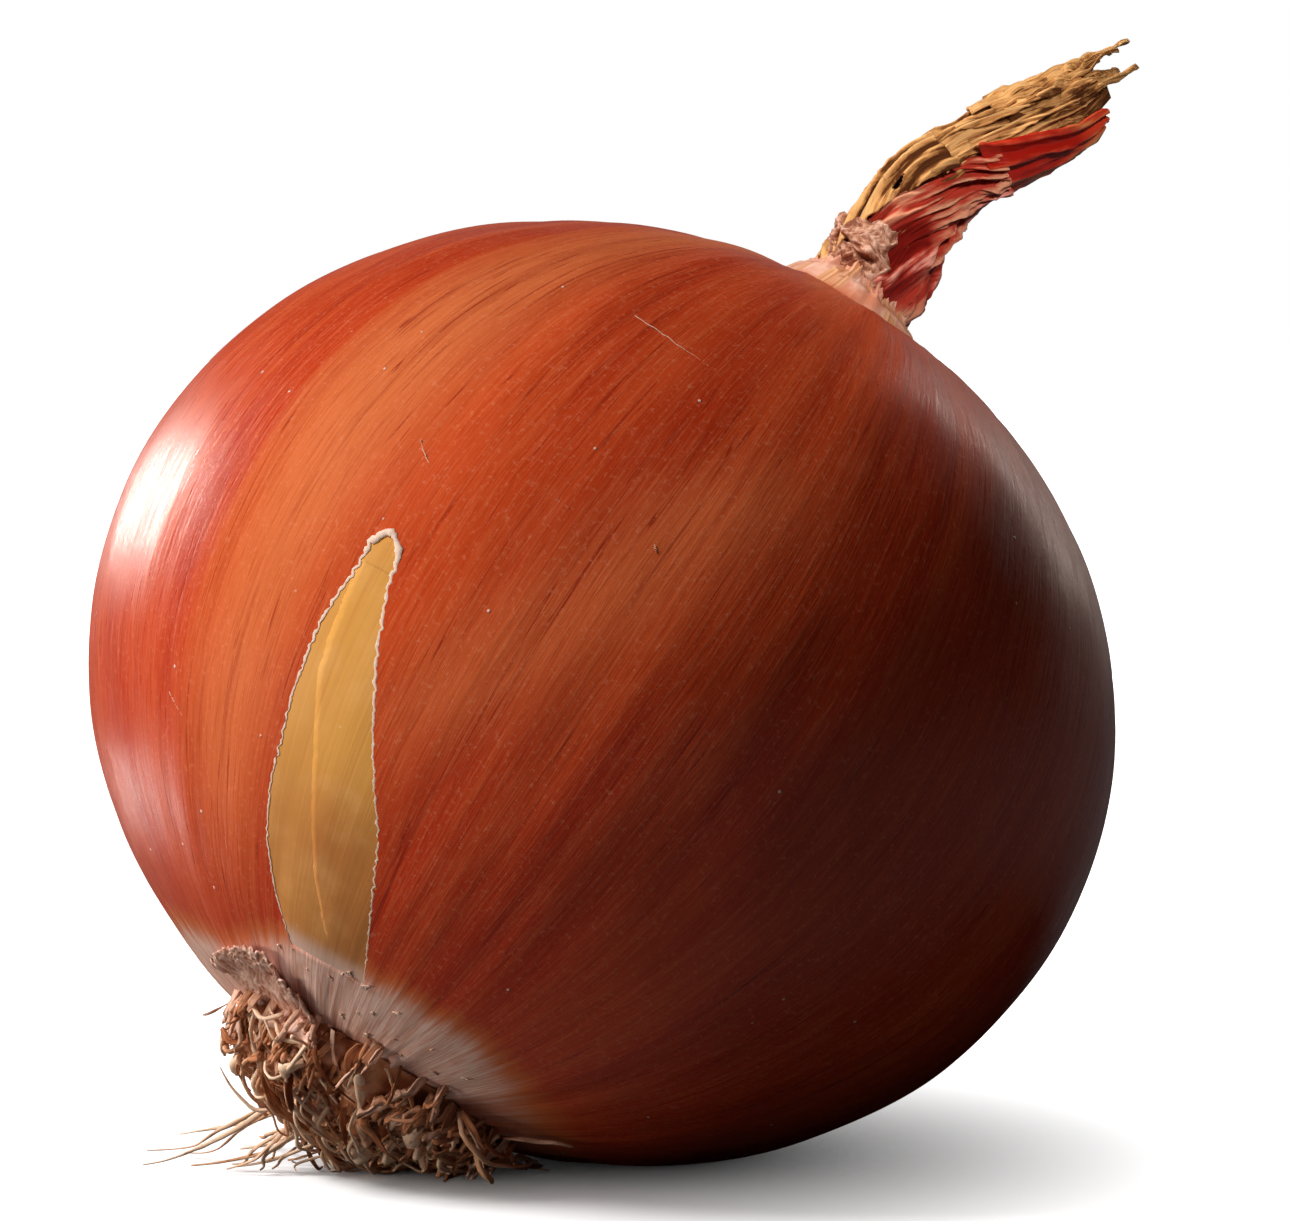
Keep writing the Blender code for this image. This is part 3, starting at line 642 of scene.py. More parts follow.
def gold_finish():
    """The golden scale in the tear: waxy, with faint veins from root to neck."""
    material, tree, shader = new_tree("golden_scale")
    fibre = read(tree, "fibre")
    tint = split(tree, read(tree, "tint"))
    spot = place_of(tree)
    veins = along_fibre(tree, fibre, (60.0, 60.0, 1.5), 4.0, 0.6, 0.5)
    clouds = grain(tree, spot, 170.0, 4.0, 0.6)
    base = mix(tree, mask(tree, tint[0], 0.2, 0.9), colour(0.56, 0.215, 0.055), colour(0.74, 0.355, 0.080))
    base = over(tree, base, mask(tree, clouds, 0.42, 0.66), 0.40, 0.86, 0.46, 0.17)
    base = over(tree, base, mask(tree, veins, 0.50, 0.30), 0.40, 0.56, 0.20, 0.05)
    base = over(tree, base, tint[2], 0.35, 0.74, 0.34, 0.09)
    base = mix(tree, mask(tree, tint[1], 0.15, 0.9), base, colour(0.80, 0.55, 0.45))
    dots = specks(tree, spot, 700.0, 0.12, 0.12)
    base = over(tree, base, dots, 0.6, 0.98, 0.85, 0.65)
    rough = spread(tree, clouds, 0.34, 0.55)
    finish(tree, shader, base, rough, None, (veins, 0.00006, 0.5), (clouds, 0.00008, 0.5))
    return material


def dry_finish(
    name, dark, middle, light, stretch, scale, roughness, relief,
    worn=0.4, coat=0.0, aged=None, contrast=1.0,
):
    """A dry plant finish in three tones, its grain drawn out by stretch, with worn spots.

    The tint's first number moves a piece towards its light or its dark tone, and the second one,
    past its half, towards the aged tone.
    """
    material, tree, shader = new_tree(name)
    fibre = read(tree, "fibre")
    tint = split(tree, read(tree, "tint"))
    spot = place_of(tree)
    fine = grain(tree, stretched(tree, fibre, *stretch), scale, 5.0, 0.62, 0.4)
    broad = grain(tree, spot, 300.0, 4.0, 0.6)
    pits = grain(tree, spot, 1500.0, 3.0, 0.6)
    value = plus(tree, times(tree, fine, 0.9), times(tree, broad, 0.7))
    value = calc(tree, "MULTIPLY_ADD", value, contrast, 0.3 - 0.8 * contrast)
    value = plus(tree, value, tint[0])
    base = mix(tree, mask(tree, value, 0.45, 0.85), colour(*dark), colour(*middle))
    base = mix(tree, mask(tree, value, 0.75, 1.15), base, colour(*light))
    if aged:
        old = mix(tree, mask(tree, value, 0.35, 0.95), colour(*middle), colour(*aged))
        worn_share = plus(tree, tint[1], times(tree, fine, 0.3))
        base = mix(tree, mask(tree, worn_share, 0.62, 1.05), base, old)
    stain = times(tree, mask(tree, pits, 0.60, 0.72), worn)
    base = mix(tree, stain, base, colour(*[0.5 * part for part in dark]))
    rough = spread(tree, fine, roughness - 0.1, roughness + 0.12)
    shader.inputs["Coat Weight"].default_value = coat
    shader.inputs["Coat Roughness"].default_value = 0.25
    layers = ((fine, relief, 0.9), (pits, relief * 0.5, 0.6), (broad, relief * 1.5, 0.6))
    finish(tree, shader, base, rough, 0.35, *layers)
    return material


SKIN_FINISH = skin_finish()
GOLD_FINISH = gold_finish()
RIM_FINISH = dry_finish(
    "torn_rim", (0.70, 0.33, 0.21), (0.86, 0.53, 0.38), (0.94, 0.70, 0.56),
    (3.0, 3.0, 1.0), 2.0, 0.45, 0.00004, 0.1,
)
ROOT_FINISH = dry_finish(
    "dry_roots", (0.26, 0.080, 0.032), (0.74, 0.37, 0.19), (0.95, 0.68, 0.48),
    (1.6, 1.6, 0.35), 1.5, 0.58, 0.00006,
)
CRUST_FINISH = dry_finish(
    "root_crust", (0.22, 0.060, 0.022), (0.62, 0.25, 0.115), (0.88, 0.54, 0.39),
    (2.2, 2.2, 0.5), 1.2, 0.70, 0.00010, 0.4,
)
DEAD_FINISH = dry_finish(
    "dead_scale", (0.48, 0.17, 0.105), (0.74, 0.38, 0.27), (0.92, 0.63, 0.52),
    (1.4, 1.4, 0.6), 1.3, 0.64, 0.00006, 0.2,
)
STRAW_FINISH = dry_finish(
    "dry_straw", (0.11, 0.034, 0.011), (0.50, 0.225, 0.070), (0.76, 0.41, 0.155),
    (5.0, 1.0, 0.40), 1.0, 0.62, 0.00012, 0.5, contrast=2.3,
)
KNOB_FINISH = dry_finish(
    "pale_crust", (0.26, 0.090, 0.050), (0.58, 0.285, 0.175), (0.78, 0.49, 0.36),
    (3.0, 1.0, 3.0), 2.2, 0.70, 0.00014, 0.45, contrast=1.6,
)
LEAF_FINISH = dry_finish(
    "crimson_leaf", (0.20, 0.009, 0.006), (0.46, 0.042, 0.024), (0.82, 0.32, 0.235),
    (4.0, 1.0, 0.35), 1.0, 0.36, 0.00007, 0.2, 0.2, (0.70, 0.30, 0.17), 1.7,
)
TONGUE_FINISH = dry_finish(
    "glossy_leaf", (0.36, 0.010, 0.005), (0.62, 0.050, 0.018), (0.84, 0.28, 0.12),
    (4.0, 1.0, 0.30), 1.0, 0.22, 0.00005, 0.1, 0.6, (0.66, 0.22, 0.07), 1.5,
)


# The skin and what shows through its tear

TEAR_TOP = TEAR_EDGES[0][0]
TEAR_END = TEAR_EDGES[-1][0]
WARP_FROM = radians(198.0)
WARP_TO = radians(256.0)
TEAR_LEFT_HOME = radians(216.0)
TEAR_RIGHT_HOME = radians(230.0)
COLUMNS_BEFORE = 22
COLUMNS_IN_TEAR = 26
COLUMNS_AFTER = 26
COLUMNS_ROUND = 160
EDGE_COLUMN = radians(0.07)
COLLAR_FROM = pi - radians(10.0)
COLLAR_ROWS = 16
AWAY_COUNTS = (26, 84, 58, 10)
# How far the collar stands off the neck at its rim, how far it bends at both ends, and its folds
COLLAR_STAND = 0.0011
COLLAR_BEND_LOW = 0.0007
COLLAR_BEND_HIGH = 0.0009
COLLAR_FOLDS = 0.00028
COLLAR_PINCH = 0.0007
COLLAR_MARK = 0.75
INNER_GRID = (30, 110)
INNER_THICKNESS = 0.00004
RIM_STEPS = 150
RIM_TOP_STEPS = 8
RIM_SIDES = 8
SCRATCH_SEED = 3
SCRATCH_RADIUS = 0.000045
SCRATCH_JITTER = 0.00006
GOLD_COLUMNS = 320
GOLD_ROWS = 160
# How far the shoulder and the collar lie in on the right
TUCK = 0.0013


def tear_edges(away):
    """The left and right edge of the tear at an angle from the root end, with a ragged line."""
    left = along_table(TEAR_EDGES, away, 1) + TEAR_RAGGED * wobble(away * 90.0, 1.0, 0.0)
    right = along_table(TEAR_EDGES, away, 2) + TEAR_RAGGED * wobble(away * 90.0, 5.0, 0.0)
    return left, right


def runs(stops, counts):
    """Even steps between each two stops, by their counts, without the last stop."""
    steps = []
    for low, high, count in zip(stops, stops[1:], counts):
        steps += [between(index / count, low, high) for index in range(count)]
    return steps


def skin_lons():
    """The columns of the skin, closer together beside the tear."""
    stops = (WARP_FROM, TEAR_LEFT_HOME - EDGE_COLUMN, TEAR_LEFT_HOME, TEAR_RIGHT_HOME,
             TEAR_RIGHT_HOME + EDGE_COLUMN, WARP_TO, WARP_FROM + FULL_TURN)
    counts = (COLUMNS_BEFORE - 1, 1, COLUMNS_IN_TEAR, 1, COLUMNS_AFTER, COLUMNS_ROUND)
    return runs(stops, counts)


def skin_aways():
    """The rows of the skin, closer together beside the tear and at both ends."""
    stops = (ROOT_OPENING, TEAR_END, TEAR_TOP, pi - radians(16.0), COLLAR_FROM)
    return runs(stops, AWAY_COUNTS) + [COLLAR_FROM]


def warped(lon, away):
    """The lon moved so that the columns run along the edges of the tear."""
    if not WARP_FROM < lon < WARP_TO:
        return lon
    left, right = tear_edges(min(max(away, TEAR_END), TEAR_TOP))
    if lon < TEAR_LEFT_HOME:
        return between((lon - WARP_FROM) / (TEAR_LEFT_HOME - WARP_FROM), WARP_FROM, left)
    if lon < TEAR_RIGHT_HOME:
        return between((lon - TEAR_LEFT_HOME) / (TEAR_RIGHT_HOME - TEAR_LEFT_HOME), left, right)
    return between((lon - TEAR_RIGHT_HOME) / (WARP_TO - TEAR_RIGHT_HOME), right, WARP_TO)


def skin_fibre(lon, away):
    return (cos(lon), sin(lon), away)


def pale_share(lon, away):
    """1 well inside the pale root zone, 0.5 at its border and 0 outside."""
    around = lon % FULL_TURN
    border = along_table(PALE_BORDER, around)
    fade = 1.0 - 0.58 * rises(around, 250.0, 50.0)
    return fade * smooth(0.5 + (border - away) / radians(13.0))


def lighter_band_and_painted_light(lon, away):
    """The lighter band beside the tear, and two broad lighter patches on the seen side: partly the skin's
    own colour and partly painted light where the key light falls.
    """
    spread = (lon - radians(207.0)) / radians(7.5)
    band = 0.75 * bell(spread) * rises(away, 30.0, 25.0)
    middle = radians(234.0) + 0.42 * (away - radians(72.0))
    across = (lon - middle) / radians(7.0)
    ends = rises(away, 56.0, 18.0) * falls(away, 118.0, 18.0)
    left = (lon - radians(196.0)) / radians(16.0)
    upper = (away - radians(96.0)) / radians(30.0)
    patches = 0.60 * bell(across) * ends + 0.5 * exp(-(left**2) - upper**2)
    return min(1.0, band + patches)


def relief_of(lon, away):
    """The low unevenness of the skin along its fibres and across them."""
    x, y = cos(lon), sin(lon)
    streaks = wobble(16.0 * x, 16.0 * y, 1.5 * away)
    dents = wobble(5.0 * x, 5.0 * y, 5.0 * away)
    root = falls(away, 34.0, 12.0)
    ridges = wobble(30.0 * x, 30.0 * y, 2.5 * away)
    return STREAK_RELIEF * (streaks + 1.4 * dents + 2.6 * root * ridges)


def tuck(lon, away):
    """How far the shoulder and the collar lie in on their right side."""
    return TUCK * rises(away, 158.0, 12.0) * right_side(lon, 15.0)


def collar_height(lon):
    """The share of the neck's length where the collar ends, ragged and lower on the right."""
    low = 0.055 * right_side(lon, 25.0)
    teeth = 0.014 * round_wobble(5.0, lon, 1.0) + 0.012 * round_wobble(19.0, lon, 4.0)
    return 0.155 - low + teeth


def collar_point(lon, v):
    """The skin drawn up round the neck, from v = 0 at the shoulder to 1 at its ragged rim."""
    lift = relief_of(lon, COLLAR_FROM) - tuck(lon, COLLAR_FROM)
    start = skin_point(lon, COLLAR_FROM, lift)
    before = skin_point(lon, COLLAR_FROM - radians(1.0), lift)
    end = neck_point(collar_height(lon), lon, COLLAR_STAND)
    middle, _, _, along = neck_frame(0.1)
    bend_low = start + (start - before).normalized() * COLLAR_BEND_LOW
    bend_high = end - along * COLLAR_BEND_HIGH
    w = 1.0 - v
    place = start * w**3 + bend_low * 3.0 * w * w * v + bend_high * 3.0 * w * v * v + end * v**3
    outward = (place - middle).normalized()
    folds = round_wobble(9.0, lon, 1.2 * v) + 0.6 * round_wobble(24.0, lon, 2.0 * v)
    pinch = COLLAR_PINCH * smooth(1.6 * v) * right_side(lon, 15.0)
    return place + outward * (COLLAR_FOLDS * folds * smooth(2.5 * v) - pinch)


def skin_mark(lon, away):
    """The tint of the skin: the pale root zone, the collar and the lighter band, which is partly painted
    light.
    """
    collar = smooth((away - (pi - radians(15.5))) / radians(6.0))
    return (pale_share(lon, away), COLLAR_MARK * collar, lighter_band_and_painted_light(lon, away))


def make_skin():
    """The thin skin with its tear, drawn up into the collar."""
    shape = Shape()
    lons = skin_lons()
    aways = skin_aways()
    tear_from = COLUMNS_BEFORE
    tear_to = COLUMNS_BEFORE + COLUMNS_IN_TEAR

    def on_skin(lon, away):
        turned = warped(lon, away)
        spot = skin_point(turned, away, relief_of(turned, away) - tuck(turned, away))
        return spot, skin_fibre(turned, away), skin_mark(turned, away)

    def on_collar(lon, v):
        mark = (0.0, between(v, COLLAR_MARK, 1.0), 0.0)
        return collar_point(lon, v), skin_fibre(lon, COLLAR_FROM + 0.35 * v), mark

    rows = [[on_skin(lon, away) for lon in lons] for away in aways]
    rows += [[on_collar(lon, row / COLLAR_ROWS) for lon in lons] for row in range(1, COLLAR_ROWS + 1)]

    def keep(row, column):
        if not tear_from <= column < tear_to:
            return True
        return not TEAR_END <= aways[min(row, len(aways) - 1)] < TEAR_TOP - radians(0.2)

    shape.grid(rows, wrap=True, keep=keep)
    put("papery_skin", shape, SKIN_FINISH, "outer_skin", "copper_skin", SKIN_THICKNESS)


def gold_lift(lon, away):
    """The golden scale lies close under the skin beside the tear and deeper elsewhere."""
    around = (lon - radians(226.0) + pi) % FULL_TURN - pi
    near = falls(abs(around), 24.0, 8.0) * rises(away, 25.0, 5.0)
    left, right = tear_edges(min(max(away, TEAR_END), TEAR_TOP))
    middle = 1.0 - abs(2.0 * (lon - left) / (right - left) - 1.0)
    meets = smooth(1.0 + 2.5 * middle) * smooth((TEAR_TOP + radians(1.0) - away) / radians(3.0))
    lift = 0.00005 * meets * near - between(near, GOLD_DEPTH_FAR, GOLD_DEPTH)
    return lift - shoulder(away) - tuck(lon, away)


def gold_mark(away, inner):
    """The tint of the golden scale: how bright, how pale at the root end, and 1 past the inner scale."""
    bright = rises(away, 40.0, 26.0)
    pale = falls(away, 38.5, 7.0)
    return (bright, pale, inner)


def make_gold():
    """The closed golden bulb under the skin."""

    def place(lon, away):
        spot = skin_point(lon, away, gold_lift(lon, away) + relief_of(lon, away))
        return spot, skin_fibre(lon, away), gold_mark(away, 1.0)

    shape = Shape()
    aways = [pi * row / GOLD_ROWS for row in range(1, GOLD_ROWS)]
    low = (skin_point(0.0, 0.0, -GOLD_DEPTH_FAR), (1.0, 0.0, 0.0), (0.0, 1.0, 0.0))
    top = skin_point(0.0, pi, -GOLD_DEPTH_FAR - SHOULDER_RISE - TUCK)
    shape.closed(ring_rows(GOLD_COLUMNS, aways, place), low, (top, (1.0, 0.0, pi), (1.0, 0.0, 0.0)))
    put("golden_bulb", shape, GOLD_FINISH, "bulb", "golden_scale")


def make_inner_scale():
    """A thin inner scale over the right part of the tear, its edge showing as a fine line."""

    def place(u, v):
        away = between(v, INNER_LINE[-1][0], INNER_LINE[0][0])
        left = along_table(INNER_LINE, away) + radians(0.12) * wobble(60.0 * away, 9.0, 0.0)
        lon = between(u, left, radians(246.0))
        low = rises(away, 31.0, 8.0)
        lift = gold_lift(lon, away) + 0.00003 * smooth(8.0 * u) * low - 0.00003 * (1.0 - low)
        place = skin_point(lon, away, lift + relief_of(lon, away))
        return place, skin_fibre(lon, away), gold_mark(away, 0.0)

    put_sheet("inner_scale", *INNER_GRID, place, GOLD_FINISH, "bulb", "golden_scale", INNER_THICKNESS)


def rim_path():
    """The torn edge as (lon, away): up the left, across the top, and down the right."""
    path = []
    for index in range(RIM_STEPS + 1):
        away = between(index / RIM_STEPS, TEAR_END, TEAR_TOP - radians(0.4))
        path.append((tear_edges(away)[0], away))
    left, right = tear_edges(TEAR_TOP)
    for index in range(1, RIM_TOP_STEPS):
        bow = radians(0.5) * sin(pi * index / RIM_TOP_STEPS)
        path.append((between(index / RIM_TOP_STEPS, left, right), TEAR_TOP + bow))
    for index in range(RIM_STEPS + 1):
        away = between(1.0 - index / RIM_STEPS, TEAR_END, TEAR_TOP - radians(0.4))
        path.append((tear_edges(away)[1], away))
    return path


def make_rim():
    """The whitish ragged rim of the tear: a thin lip on the skin's edge, thick and blunt at its top."""
    path = rim_path()
    count = len(path)
    shape = Shape()
    rows = []
    for index, (lon, away) in enumerate(path):
        before = skin_point(*path[max(index - 1, 0)])
        along = (skin_point(*path[min(index + 1, count - 1)]) - before).normalized()
        outward = direction(lon, away)
        across = along.cross(outward).normalized()
        top = rises(away, 77.5, 3.5)
        body = between(rises(away, 58.0, 12.0), 0.00008, 0.00012)
        rough = 1.0 + 0.6 * wobble(index * 0.55, 3.0, 0.0)
        ends = smooth((away - TEAR_END) / radians(6.0))
        wide = between(top, body, 0.00028) * rough * between(ends, 0.35, 1.0)
        high = wide * between(top, 0.22, 0.50)
        centre = skin_point(lon, away, relief_of(lon, away) - 0.00001)
        row = []
        for side in range(RIM_SIDES):
            turn = FULL_TURN * side / RIM_SIDES
            spot = centre + across * (wide * cos(turn)) + outward * (high * sin(turn))
            row.append((spot, (cos(turn), sin(turn), 0.25 * index), (0.9, 0.5, index / count)))
        rows.append(row)
    low, high = [(skin_point(*spot), (0.0, 0.0, 0.0), (0.5, 0.5, 0.0)) for spot in (path[0], path[-1])]
    shape.closed(rows, low, high)
    put("torn_rim", shape, RIM_FINISH, "outer_skin", "copper_skin")


# Pale scratches on the skin, as (lon, away) in degrees along each
SCRATCHES = (
    ((219.0, 119.0), (226.1, 118.0), (231.7, 117.3), (236.2, 116.8)),
    ((215.0, 91.8), (217.4, 90.0), (220.7, 88.3), (224.9, 86.0)),
    ((226.9, 94.2), (229.4, 93.2), (233.3, 92.8)),
    ((194.6, 56.6), (196.2, 55.6), (198.0, 54.7)),
    ((242.5, 94.3), (242.8, 94.0), (243.1, 93.8)),
)


def strand(shape, points, radius, flat, seed, tone, tip=0.3, sides=6):
    """Adds a closed tapering strand along the points."""
    count = len(points)
    radii = [radius * between((index / (count - 1)) ** 1.5, 1.0, tip) for index in range(count)]
    low = (points[0], (0.0, seed, 0.0), (tone, 0.5, 0.0))
    high = (points[-1], (0.0, seed, 0.0), (tone, 0.5, 1.0))
    shape.closed(tube_rows(points, radii, sides, flat, seed, tone), low, high)


def make_scratches():
    """Pale scratches on the skin."""
    shape = Shape()
    draw = Random(SCRATCH_SEED)
    for route in SCRATCHES:
        spots = [skin_point(radians(lon), radians(away), -0.00001) for lon, away in route]
        points = curve_through(spots, 24)
        jitters = [[draw.uniform(-1.0, 1.0) * SCRATCH_JITTER for _ in range(3)] for _ in points]
        points = [place + Vector(jitter) for place, jitter in zip(points, jitters)]
        strand(shape, points, SCRATCH_RADIUS, 0.4, draw.uniform(0.0, 50.0), 0.5)
    put("pale_scratches", shape, RIM_FINISH, "outer_skin", "copper_skin")


# The root end

PLATE_COLUMNS = 150
PLATE_ROWS = 90
TONE_SEED = 29
STUB_POINTS = 14
STUB_SIDES = 10
STUB_FLATNESS = 0.55
STUB_WALL = 0.00012
FLAKES = 150
FLAKE_SEED = 57
FLAKE_GRID = (6, 12)
FLAKE_THICKNESS = 0.00014
REMNANT_GRID = (120, 60)
REMNANT_SHEET = 0.00016
PAPER_SEED = 73
PAPER_GRID = (4, 8)
PAPER_THICKNESS = 0.00007
FIBRE_SEED = 41
FIBRES = 430
FIBRE_RADII = (0.00010, 0.00028)
FIBRE_LENGTHS = (0.0035, 0.011)
SHREDS = 260
SHRED_RADII = (0.0002, 0.0005)
SHRED_LENGTHS = (0.002, 0.007)
# The curl of the fibres and shreds, and how low they may show below the bulb's centre
FIBRE_CURL = 0.7
LOWEST_FIBRE = -0.0347
VIEW_DISTANCE = 0.35


def plate_reach(lon):
    """The angle from the root end at which the plate's ragged edge lies."""
    wave = round_wobble(PLATE_RAGGED_TURNS, lon, PLATE_SEED)
    middle = PLATE_EDGE + PLATE_SHIFT * cos(lon - PLATE_SHIFT_SIDE)
    return middle * (1.0 - PLATE_RAGGED * (0.5 + 0.5 * wave))


def mound(lon, away):
    """How far the plate's rough mound rises over the skin."""
    share = min(away / plate_reach(lon), 1.0)
    return GAP + PLATE_RIM + PLATE_HEIGHT * (1.0 - share**PLATE_FLATNESS)


def least_distance(lon, away, radius):
    """How far from the bulb's centre a root of that radius stays, to lie on the plate and clear the rest."""
    if away < plate_reach(lon):
        return skin_radius(lon, away) + mound(lon, away)
    around = lon % FULL_TURN
    beside = REMNANT_LEFT - REMNANT_MARGIN < around < REMNANT_RIGHT + REMNANT_MARGIN
    covered = beside and away > REMNANT_FROM - REMNANT_MARGIN
    cover = GAP + REMNANT_THICKNESS + REMNANT_CURL if covered else 0.0
    return skin_radius(lon, away) + cover + GAP + radius


def clear_place(place, radius):
    """The place moved off the skin and the surface below, and out of the wedge between the two."""
    for _ in range(CLEARING_STEPS):
        place.z = max(place.z, radius)
        lon, away, distance = angles_of(place)
        least = least_distance(lon, away, radius)
        if distance >= least - WELD:
            break
        if place.z > radius + WELD:
            place = CENTRE + (place - CENTRE) * (least / distance)
        else:
            place = Vector((place.x * CLEARING_STRIDE, place.y * CLEARING_STRIDE, radius))
    return place


def free_root(draw, lon, away, length, radius, curl=CURL):
    """A root that leaves the plate, curls, and lies down over it towards the lower side."""
    place = clear_place(skin_point(lon, away), radius)
    flare = (SIDE_AXIS * cos(lon) + ACROSS_AXIS * sin(lon)) * draw.uniform(*ROOT_FLARE)
    heading = direction(lon, away) * ROOT_LIFT + flare
    drift = draw_vector(draw)
    points = [place]
    for _ in range(max(FREE_ROOT_LEAST_STEPS, round(length / ROOT_STEP))):
        inward = (CENTRE - place).normalized()
        heading = heading.normalized() + drift * curl
        heading += SIDE_AXIS * ROOT_PULL + ACROSS_AXIS * ROOT_GATHER + inward * ROOT_HUG
        drift.rotate(draw_turn(draw))
        place = clear_place(place + heading.normalized() * ROOT_STEP, radius)
        points.append(place)
    return points


def draw_vector(draw):
    return Vector((draw.uniform(-1.0, 1.0), draw.uniform(-1.0, 1.0), draw.uniform(-1.0, 1.0)))


def draw_turn(draw):
    """A small random rotation."""
    return draw_vector(draw).to_track_quat("Z", "Y").slerp(UP.to_track_quat("Z", "Y"), CURL_KEPT)


def long_root(draw, tip):
    """A root that droops to the surface below and runs along it to its tip."""
    end = Vector((tip[0], tip[1], ROOT_RADIUS))
    lon, away, _ = angles_of(end)
    start = skin_point(lon, min(away, PLATE_EDGE) * LONG_ROOT_START, PLATE_RIM)
    knee = start + (end - start) * LONG_ROOT_KNEE
    knee.z = LONG_ROOT_LOW
    phase = draw.uniform(0.0, PHASES)
    points = []
    for index in range(LONG_ROOT_POINTS + 1):
        share = index / LONG_ROOT_POINTS
        place = start * (1.0 - share) ** 2 + knee * 2.0 * share * (1.0 - share) + end * share**2
        wave = LONG_ROOT_WAVES * share
        sway = Vector((wobble(phase, wave, 0.0), wobble(phase, wave, LONG_ROOT_OTHER_WAVE), 0.0))
        place += sway * (LONG_ROOT_SWAY * sin(pi * share))
        points.append(clear_place(place, ROOT_RADIUS))
    return points


def stub(shape, points, seed, tone, radius):
    """A short dead root, flattened and broken off, its end open and flared."""
    fine = curve_through(points, STUB_POINTS)
    radii = []
    for index in range(STUB_POINTS):
        share = index / (STUB_POINTS - 1)
        radii.append(radius * (1.0 + 0.5 * smooth(share * 1.4 - 0.4) + 0.3 * wobble(seed, 3.0 * share, 1.0)))
    rows = tube_rows(fine, radii, STUB_SIDES, STUB_FLATNESS, seed, tone)
    lip = rows[-1]
    ragged = [(spot + (fine[-1] - fine[-2]) * (1.6 * wobble(seed, 2.5 * cos(k), 2.5 * sin(k))), fibre, tint)
              for k, (spot, fibre, tint) in enumerate(lip)]
    shape.grid(rows[:-1] + [ragged], wrap=True)


def make_roots():
    """The roots on the same paths as the part's, the stubs hollow."""
    roots = Shape()
    stubs = Shape()
    draw = Random(ROOT_SEED)
    tones = Random(TONE_SEED)
    for tip in LONG_ROOT_TIPS:
        points = curve_through(long_root(draw, tip), 44)
        radius = ROOT_RADIUS * tones.uniform(0.45, 0.75)
        strand(roots, points, radius, 0.7, tones.uniform(0, 99), tones.uniform(0.6, 0.95), 0.25)
    raised = curve_through([Vector(point) for point in RAISED_ROOT], 30)
    strand(roots, raised, ROOT_RADIUS * 0.55, 0.7, 3.0, 0.8, 0.3)
    for index in range(FREE_ROOTS):
        lon = FULL_TURN * (index + draw.uniform(-FREE_ROOT_JITTER, FREE_ROOT_JITTER)) / FREE_ROOTS
        away = plate_reach(lon) * draw.uniform(*FREE_ROOT_START)
        length = draw.uniform(*FREE_ROOT_LENGTH)
        points = curve_through(free_root(draw, lon, away, length, ROOT_RADIUS), 26)
        radius = ROOT_RADIUS * tones.uniform(0.45, 0.9)
        strand(roots, points, radius, 0.6, tones.uniform(0, 99), tones.uniform(0.35, 1.0), 0.3)
    for index in range(STUBS):
        lon = GOLDEN_TURN * index
        away = plate_reach(lon) * STUB_SPREAD * ((index + 0.5) / STUBS) ** 0.5
        length = draw.uniform(*STUB_LENGTH)
        points = free_root(draw, lon, away, length, STUB_RADIUS)
        radius = STUB_RADIUS * tones.uniform(0.5, 0.95)
        stub(stubs, points, tones.uniform(0, 99), tones.uniform(0.5, 1.1), radius)
    put("roots", roots, ROOT_FINISH, "root_tuft", "roots")
    put("hollow_stubs", stubs, ROOT_FINISH, "root_tuft", "roots", STUB_WALL)


def hangs_low(points):
    """Whether a fibre would lie further out and lower than the rest of the tuft."""
    _, up, back = view_axes()
    for place in points:
        nearer = 1.0 - (place - CENTRE).dot(back) / VIEW_DISTANCE
        if (place - CENTRE).dot(up) / nearer < LOWEST_FIBRE:
            return True
    return False


def make_fibres():
    """Thin fibres and flat matted shreds among the roots, and more long ones along the surface below."""
    fibres = Shape()
    shreds = Shape()
    draw = Random(FIBRE_SEED)
    for tip in LONG_ROOT_TIPS[:12] * 2:
        shorter = draw.uniform(0.72, 0.98)
        near_x = tip[0] * shorter + draw.uniform(-0.001, 0.001)
        near_y = tip[1] * shorter + draw.uniform(-0.0015, 0.0015)
        points = curve_through(long_root(draw, (near_x, near_y)), 40)
        radius = draw.uniform(0.00014, 0.00028)
        strand(fibres, points, radius, 0.7, draw.uniform(0, 99), draw.uniform(0.5, 1.0), 0.3)
    for _ in range(FIBRES):
        lon = draw.uniform(0.0, FULL_TURN)
        away = plate_reach(lon) * draw.uniform(0.10, 1.08)
        radius = draw.uniform(*FIBRE_RADII)
        length = draw.uniform(*FIBRE_LENGTHS)
        points = curve_through(free_root(draw, lon, away, length, radius, FIBRE_CURL), 22)
        tone = draw.uniform(0.3, 1.1)
        if not hangs_low(points):
            strand(fibres, points, radius, 0.7, draw.uniform(0, 99), tone, 0.35)
    for _ in range(SHREDS):
        lon = draw.uniform(0.0, FULL_TURN)
        away = plate_reach(lon) * draw.uniform(0.3, 1.10)
        length = draw.uniform(*SHRED_LENGTHS)
        points = curve_through(free_root(draw, lon, away, length, SHRED_RADII[0], FIBRE_CURL), 18)
        tone = draw.uniform(0.2, 1.0)
        if not hangs_low(points):
            radius = draw.uniform(*SHRED_RADII)
            strand(shreds, points, radius, 0.25, draw.uniform(0, 99), tone, 0.35, 8)
    put("root_fibres", fibres, ROOT_FINISH, "root_tuft", "roots")
    put("matted_shreds", shreds, CRUST_FINISH, "root_tuft", "roots")


